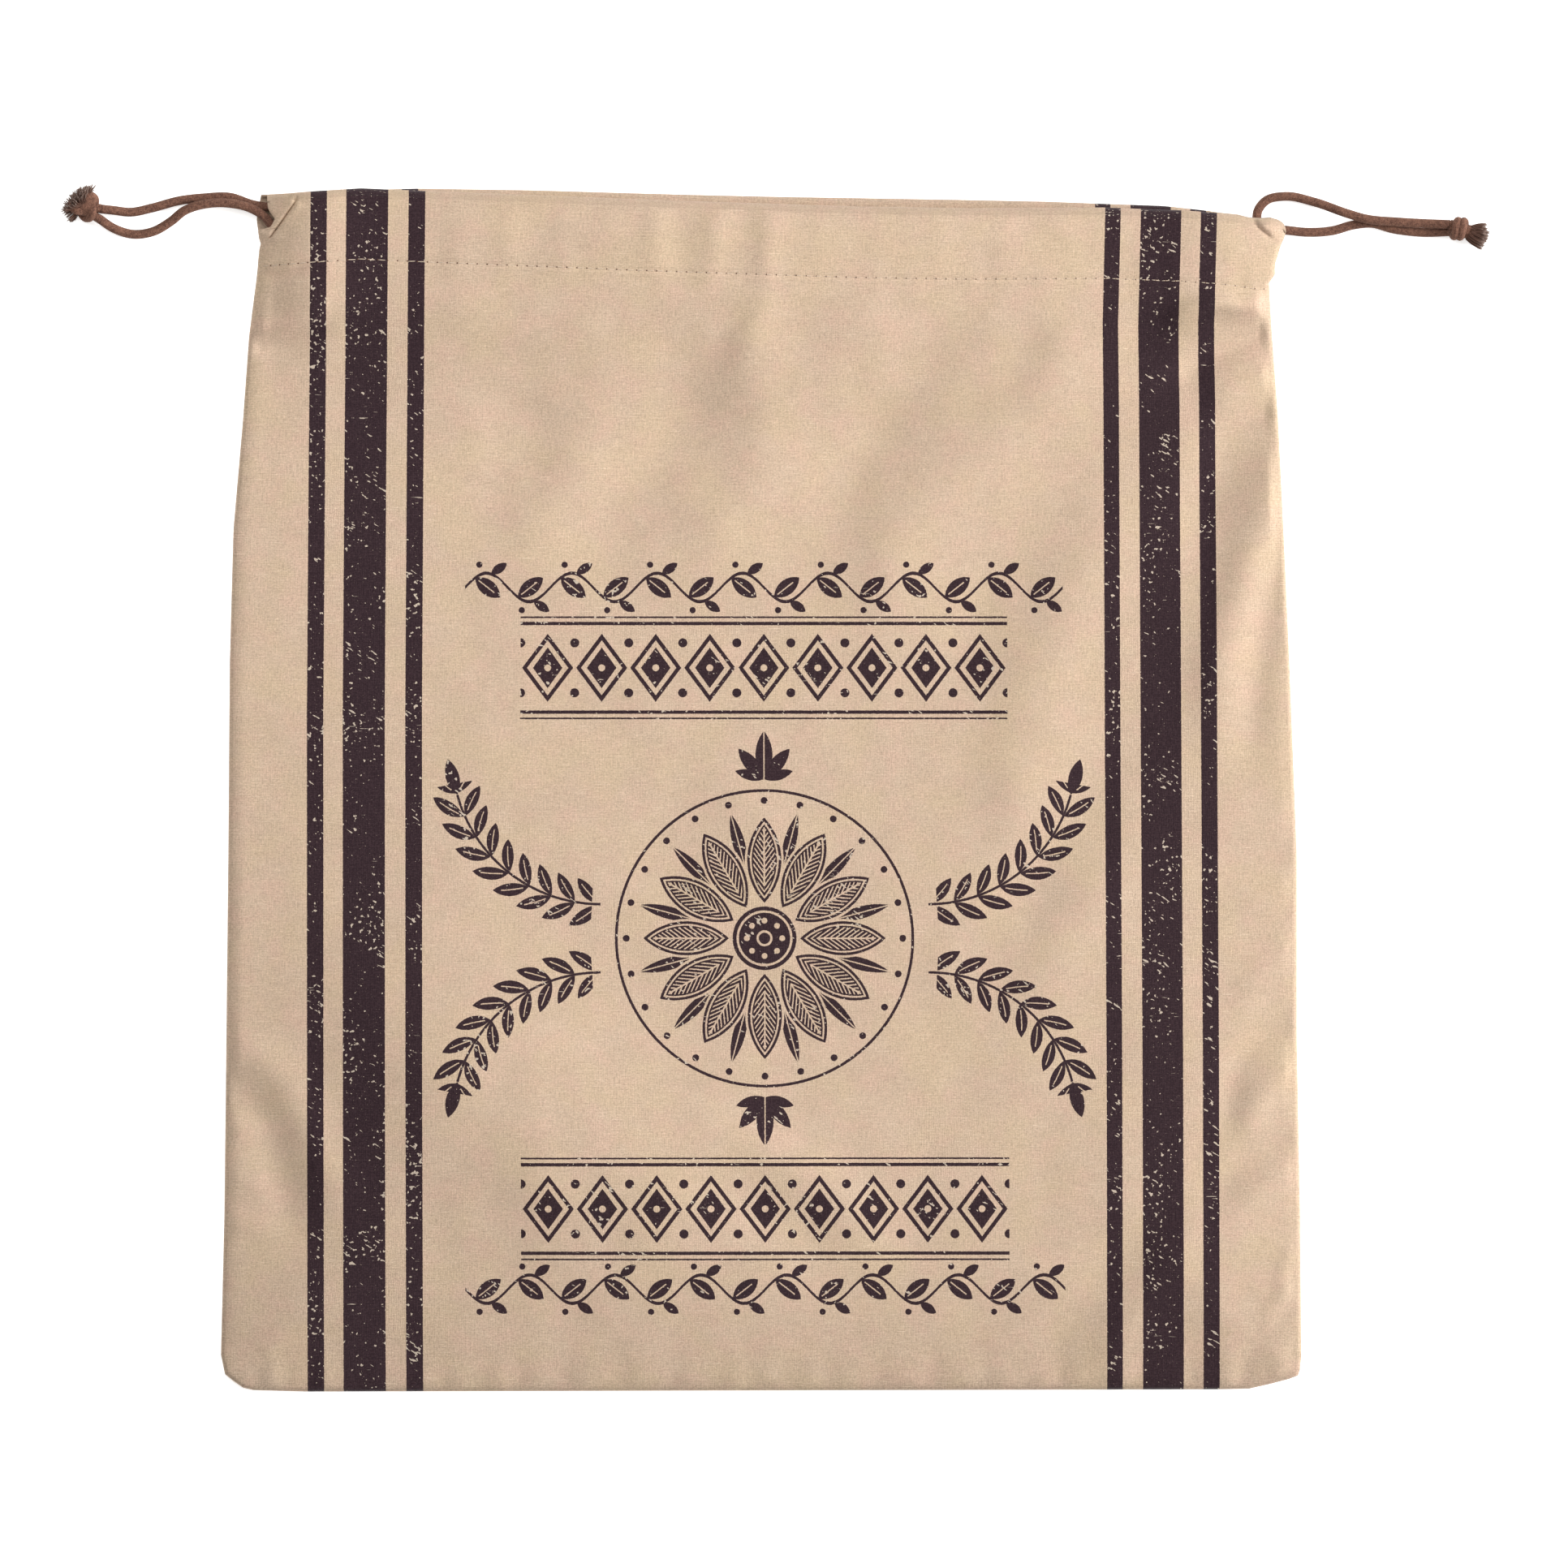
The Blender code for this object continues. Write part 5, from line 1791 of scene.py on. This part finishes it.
def make_stitch_tree():
    """A row of thread stitches along a line."""
    inputs = [
        ("Pitch", NUMBER, STITCH_PITCH),
        ("Stitch length", NUMBER, STITCH_LENGTH),
        ("Thread width", NUMBER, THREAD_WIDTH),
        ("Seed", WHOLE, 3),
        ("Thread", MATERIAL),
    ]
    tree, given, out = new_shape_tree("stitch_row", inputs)
    line = add_node(tree, "GeometryNodeMeshToCurve", {"Mesh": given["Geometry"]}).outputs[0]
    spacing = {"Curve": line, "Length": given["Pitch"]}
    marks = add_node(tree, "GeometryNodeCurveToPoints", spacing, mode="LENGTH").outputs
    bead = add_node(tree, "GeometryNodeMeshUVSphere", STITCH_BALL).outputs["Mesh"]
    size = combined(tree, given["Stitch length"], given["Thread width"], given["Thread width"])
    stitch = add_node(tree, "GeometryNodeTransform", {"Geometry": bead, "Scale": size}).outputs[0]
    tilt = tilted(tree, aimed(tree, marks["Tangent"], "X"), STITCH_TILT, given["Seed"])
    placed = scattered(tree, marks["Points"], stitch, tilt)
    finish_shape_tree(tree, placed, given["Thread"], out)
    return tree


def make_fuzz_tree():
    """Short fibres that stand off a cord's surface."""
    inputs = [
        ("Density", NUMBER, FIBRE_DENSITY),
        ("Fibre length", NUMBER, 0.0005),
        ("Fibre width", NUMBER, 0.00004),
        ("Seed", WHOLE, 5),
        ("Fibre", MATERIAL),
    ]
    tree, given, out = new_shape_tree("cord_fuzz", inputs)
    spacing = {"Mesh": given["Geometry"], "Density": given["Density"], "Seed": given["Seed"]}
    marks = add_node(tree, "GeometryNodeDistributePointsOnFaces", spacing).outputs
    cone = {
        "Vertices": 3,
        "Radius Top": 0.0,
        "Radius Bottom": given["Fibre width"],
        "Depth": given["Fibre length"],
    }
    fibre = add_node(tree, "GeometryNodeMeshCone", cone, fill_type="NONE").outputs["Mesh"]
    tilt = tilted(tree, marks["Rotation"], FIBRE_TILT, given["Seed"])
    placed = scattered(tree, marks["Points"], fibre, tilt)
    finish_shape_tree(tree, placed, given["Fibre"], out)
    return tree


def curled_yarn(tree, given):
    """One yarn along +Z with a slight curl, which stores how far along it each place is."""
    bend = combined(tree, x=given["Curl"], z=Value(given["Length"]) * 0.5)
    curve = {"Resolution": 7, "Start": (0, 0, 0), "Middle": bend, "End": combined(tree, z=given["Length"])}
    yarn = add_node(tree, "GeometryNodeCurveQuadraticBezier", curve).outputs[0]
    along = add_node(tree, "GeometryNodeSplineParameter").outputs["Factor"]
    stored = {"Geometry": yarn, "Name": "along", "Value": along}
    settings = {"data_type": "FLOAT", "domain": "POINT"}
    return add_node(tree, "GeometryNodeStoreNamedAttribute", stored, **settings).outputs[0]


def thickened(tree, lines, radius):
    """Round tubes with closed ends along lines."""
    real = add_node(tree, "GeometryNodeRealizeInstances", {"Geometry": lines}).outputs[0]
    circle = {"Resolution": 5, "Radius": radius}
    profile = add_node(tree, "GeometryNodeCurvePrimitiveCircle", circle).outputs[0]
    swept = {"Curve": real, "Profile Curve": profile, "Fill Caps": True}
    return add_node(tree, "GeometryNodeCurveToMesh", swept).outputs[0]


def make_fray_tree():
    """A bunch of loose yarns that start in a small round bundle and spread along +Z."""
    inputs = [
        ("Count", WHOLE, 60),
        ("Length", NUMBER, 0.006),
        ("Bundle radius", NUMBER, 0.0018),
        ("Spread", NUMBER, 0.6),
        ("Yarn radius", NUMBER, 0.00014),
        ("Curl", NUMBER, 0.0008),
        ("Seed", WHOLE, 11),
        ("Yarn", MATERIAL),
    ]
    tree, given, out = new_shape_tree("frayed_yarns", inputs)

    def chance(low, high, offset):
        seed = Value(given["Seed"]) + offset
        limits = {CHANCE_LOW: low, CHANCE_HIGH: high, "Seed": seed}
        drawn = add_node(tree, "FunctionNodeRandomValue", limits, data_type="FLOAT")
        return Value(drawn.outputs[CHANCE_RESULT])

    points = add_node(tree, "GeometryNodePoints", {"Count": given["Count"]}).outputs[0]
    turn = chance(0.0, math.tau, 1)
    share = chance(0.0, 1.0, 2).apply("SQRT")
    reach = share * given["Bundle radius"]
    root = combined(tree, reach * turn.apply("COSINE"), reach * turn.apply("SINE"))
    placed = add_node(tree, "GeometryNodeSetPosition", {"Geometry": points, "Position": root}).outputs[0]
    lean = share * given["Spread"] + chance(-LEAN_CHANCE, LEAN_CHANCE, 3) * given["Spread"]
    sway = turn + chance(-SWAY_CHANCE, SWAY_CHANCE, 4)
    out_by = lean.apply("SINE")
    aim = combined(tree, out_by * sway.apply("COSINE"), out_by * sway.apply("SINE"), lean.apply("COSINE"))
    size = combined(tree, 1.0, 1.0, chance(*LENGTH_CHANCE, 5))
    laid = scattered(tree, placed, curled_yarn(tree, given), aimed(tree, aim, "Z"), Scale=size)
    finish_shape_tree(tree, thickened(tree, laid, given["Yarn radius"]), given["Yarn"], out)
    return tree


# Cords and knots
def drawcord(name, route, material):
    points = smooth_route(route, CORD_RING_STEP)
    return joined_tubes(name, [(points, CORD_RADIUS, CORD_SIDES, False)], material), points


def joined_tubes(name, tubes, material):
    """Several tubes as one piece. Each is its points, radius, sides and whether it is a closed ring."""
    verts, faces, flats = [], [], []
    for points, radius, sides, closed in tubes:
        some_verts, some_faces, some_flats = tube_mesh(points, radius, sides, closed)
        start = len(verts)
        verts += list(some_verts)
        faces += [tuple(i + start for i in face) for face in some_faces]
        flats += some_flats
    obj = piece(name, verts, faces, material)
    lay_flat_map(obj, flats)
    return obj


def overhand_loop(middle, size, height, turn, count=72):
    """The closed line of an overhand knot, drawn tight."""
    t = np.linspace(0, math.tau, count, endpoint=False)
    x = np.sin(t) + 2 * np.sin(2 * t)
    y = np.cos(t) - 2 * np.cos(2 * t)
    z = -np.sin(3 * t)
    c, s = math.cos(math.radians(turn)), math.sin(math.radians(turn))
    points = np.stack([(x * c - y * s) * size[0], (x * s + y * c) * size[1], z * height], 1)
    return points + np.array(middle)


def wound_loop(start, end, radius, turns, lean, count=60):
    """A line wound round an axis between two points, its ends drawn inwards."""
    t = np.linspace(0, 1, count)
    angle = math.radians(lean) + t * turns * math.tau
    start, end = np.array(start), np.array(end)
    axis = (end - start) / np.linalg.norm(end - start)
    up = np.array([0, 0, 1.0])
    side = np.cross(axis, up)
    side /= np.linalg.norm(side)
    at_ends = ease((WOUND_END - t) / WOUND_END) + ease((t - 1 + WOUND_END) / WOUND_END)
    inward = 1 - WOUND_INWARD * at_ends
    ring = side[None] * np.cos(angle)[:, None] + up[None] * np.sin(angle)[:, None]
    return start + t[:, None] * (end - start) + ring * (radius * inward)[:, None]


def bunches(name, table, tree, material):
    """Frayed bunches of yarn, grown at the origin and then laid in place, as one piece."""
    verts, faces, alongs = [], [], []
    for root, aim, *values in table:
        seed_point = piece("bunch", [(0, 0, 0)], [])
        grown = grow(seed_point, tree, {**dict(zip(BUNCH_VALUES, values)), "Yarn": material})
        root, aim = Vector(root), Vector(aim)
        place = Matrix.Translation(root) @ (aim - root).to_track_quat("Z", "Y").to_matrix().to_4x4()
        start = len(verts)
        for vertex in grown.data.vertices:
            x, y, z = place @ vertex.co
            verts.append((x, y, z if z > LOWEST_YARN else mix(LOWEST_YARN, z, FLATTENED)))
        faces += [tuple(i + start for i in face.vertices) for face in grown.data.polygons]
        along = np.empty(len(grown.data.vertices), dtype=np.float32)
        grown.data.attributes["along"].data.foreach_get("value", along)
        alongs.append(along)
        bpy.data.objects.remove(grown)
    obj = piece(name, verts, faces, material)
    obj.data.attributes.new("along", "FLOAT", "POINT").data.foreach_set("value", np.concatenate(alongs))
    return obj


def stitch_line(name, panel, lift, values, shift=0.0):
    """A row of stitches, or of dark beads painted as the shade in needle holes, along the hem on a panel's
    outer face, shift stitches on.
    """
    hem_x, _ = panel.place(panel.below_top(STITCH_LINE))
    start = hem_x[0] + ROW_START + shift * STITCH_PITCH
    x = np.arange(start, hem_x[-1] - ROW_END, ROW_STEP)
    y = panel.below_top(STITCH_LINE)(x)
    z = panel.outer(x, y, np.full(len(x), STITCH_LINE)) + lift * panel.side
    line = piece(name, zip(x, y, z), [], edges=[(i, i + 1) for i in range(len(x) - 1)])
    return grow(line, stitch_tree, {"Pitch": STITCH_PITCH, **values})


def fuzz(name, source, seed):
    copy = bpy.data.objects.new(name, source.data.copy())
    bpy.context.scene.collection.objects.link(copy)
    return grow(copy, fuzz_tree, {"Density": FIBRE_DENSITY, "Seed": seed, "Fibre": fibre})


# Frayed bunches. Columns: root, the place it aims at, then these values
BUNCH_VALUES = ("Count", "Length", "Bundle radius", "Spread", "Curl", "Seed")
LEFT_BUNCHES = (
    ((-0.2390, 0.2066, 0.0046), (-0.2417, 0.2102, 0.0054), 320, 0.0050, 0.0032, 1.00, 0.0009, 11),
    ((-0.2408, 0.2052, 0.0040), (-0.2446, 0.2020, 0.0028), 70, 0.0054, 0.0013, 0.34, 0.0005, 23),
)
RIGHT_BUNCHES = (
    ((0.2494, 0.1963, 0.0044), (0.2546, 0.1937, 0.0038), 260, 0.0063, 0.0026, 0.17, -0.0005, 31),
    ((0.2500, 0.1964, 0.0042), (0.2554, 0.1964, 0.0038), 160, 0.0055, 0.0024, 0.25, 0.0004, 37),
)

# Straight lengths in the knots. Columns: start, end, rings, radius, sides
LEFT_LENGTHS = (
    ((-0.2350, 0.2046, 0.0038), (-0.2402, 0.2066, 0.0040), 9, 0.0036, 14),
    ((-0.2326, 0.2009, 0.0038), (-0.2362, 0.2030, 0.0040), 8, CORD_RADIUS, 12),
    ((-0.2325, 0.2048, 0.0040), (-0.2362, 0.2052, 0.0042), 8, CORD_RADIUS, 12),
)
RIGHT_LENGTHS = (
    ((0.2425, 0.1985, 0.0040), (0.2512, 0.1960, 0.0040), 14, 0.0025, 12),
    ((0.2420, 0.1966, 0.0026), (0.2446, 0.1972, 0.0036), 8, CORD_RADIUS, 12),
    ((0.2420, 0.1992, 0.0051), (0.2446, 0.1986, 0.0046), 8, CORD_RADIUS, 12),
)


def straight_tubes(table):
    return [
        (np.linspace(start, end, rings), radius, sides, False)
        for start, end, rings, radius, sides in table
    ]


place_camera()
place_lights()
place_floor()

braid = cord_material()
fibre = yarn_material("cord_fibres", CORD_DARK, YARN_GREY)
frayed = yarn_material("frayed_cord_yarn", YARN_BROWN, YARN_GREY, "along")
thread = yarn_material("tan_sewing_thread", THREAD_TAN, SLUB_PALE)
hole_shade_finish = plain_material("needle_hole_shade", HOLE_PAINTED_SHADE, HOLE_ROUGHNESS)
front_cotton = cotton_material("printed_cotton_front", ("stripes", "ornament"))
back_cotton = cotton_material("striped_cotton_back", ("stripes",))
inside_cotton = cotton_material("unprinted_cotton_inside", ())
stitch_tree, fray_tree, fuzz_tree = make_stitch_tree(), make_fray_tree(), make_fuzz_tree()

left_cord, left_line = drawcord("left_drawcord", LEFT_ROUTE, braid)
right_cord, right_line = drawcord("right_drawcord", RIGHT_ROUTE, braid)

# Runs of rows and columns are given as where each ends and its step
front_panel = Panel(
    sides=SEWN_SIDES + FRONT_ENDS,
    soft=SEWN_SIDES + SOFT_ENDS,
    top=FRONT_TOP,
    outer=front_outer,
    side=1,
    edge_runs=((0.016, 0.00036), (0.040, 0.0012)),
    middle=89,
    rows=(((0.006, 0.0006), (0.020, 0.0014), (0.380, 0.0019)), ((0.034, 0.00042),)),
    drift=(0.0, 0.0),
)
back_panel = Panel(
    sides=SEWN_SIDES + BACK_ENDS,
    soft=SEWN_SIDES + BACK_ENDS,
    top=BACK_TOP,
    outer=back_outer,
    side=-1,
    edge_runs=((0.004, 0.0005), (0.020, 0.0020)),
    middle=101,
    rows=(((0.004, 0.0005), (0.012, 0.0016), (0.380, 0.0036)), ((0.034, 0.0017),)),
    drift=BACK_DRIFT,
)
front_cloth = cloth("front_cloth", front_panel, front_cotton, inside_cotton)
back_cloth = cloth("back_cloth", back_panel, back_cotton, inside_cotton)

stitch = {"Stitch length": STITCH_LENGTH, "Thread width": THREAD_WIDTH, "Thread": thread}
hole_shade_values = {"Stitch length": HOLE_WIDTH, "Thread width": HOLE_WIDTH, "Thread": hole_shade_finish}
front_stitches = stitch_line("front_hem_stitches", front_panel, STITCH_LIFT, {**stitch, "Seed": 3})
back_stitches = stitch_line("back_hem_stitches", back_panel, BACK_STITCH_LIFT, {**stitch, "Seed": 4})
# Small dark beads stand in for the painted shade inside the needle holes
front_hole_shade = stitch_line("front_needle_hole_painted_shade", front_panel, HOLE_LIFT, {**hole_shade_values, "Seed": 5}, 0.5)

left_loop = overhand_loop(middle=(-0.2382, 0.2056, 0.0040), size=(0.00150, 0.00142), height=0.0021, turn=20)
left_tubes = [(left_loop, LEFT_LOOP_RADIUS, KNOT_SIDES, True), *straight_tubes(LEFT_LENGTHS)]
left_knot = joined_tubes("left_knot_cord", left_tubes, braid)
right_wraps = wound_loop(
    start=(0.2434, 0.1979, 0.0042), end=(0.2480, 0.1975, 0.0042), radius=0.0026, turns=2.3, lean=180
)
right_tubes = [(right_wraps, RIGHT_WRAP_RADIUS, KNOT_SIDES, False), *straight_tubes(RIGHT_LENGTHS)]
right_knot = joined_tubes("right_knot_cord", right_tubes, braid)
left_fray = bunches("left_frayed_ends", LEFT_BUNCHES, fray_tree, frayed)
right_fray = bunches("right_frayed_ends", RIGHT_BUNCHES, fray_tree, frayed)
left_fuzz = fuzz("left_cord_fibres", left_cord, 5)
right_fuzz = fuzz("right_cord_fibres", right_cord, 6)

for obj in (
    left_cord, right_cord, left_knot, right_knot, left_fray, right_fray, left_fuzz, right_fuzz,
):
    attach(obj, ROOT)
for obj in (front_cloth, back_cloth, front_stitches, back_stitches, front_hole_shade):
    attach(obj, ROOT)

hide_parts("front_panel")
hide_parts("back_panel")
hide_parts("left_cord")
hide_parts("right_cord")
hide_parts("left_knot")
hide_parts("right_knot")

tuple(LEFT_ROUTE[0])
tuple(RIGHT_ROUTE[0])

[[list(corner) for corner in box] for box in (cad_box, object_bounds())]
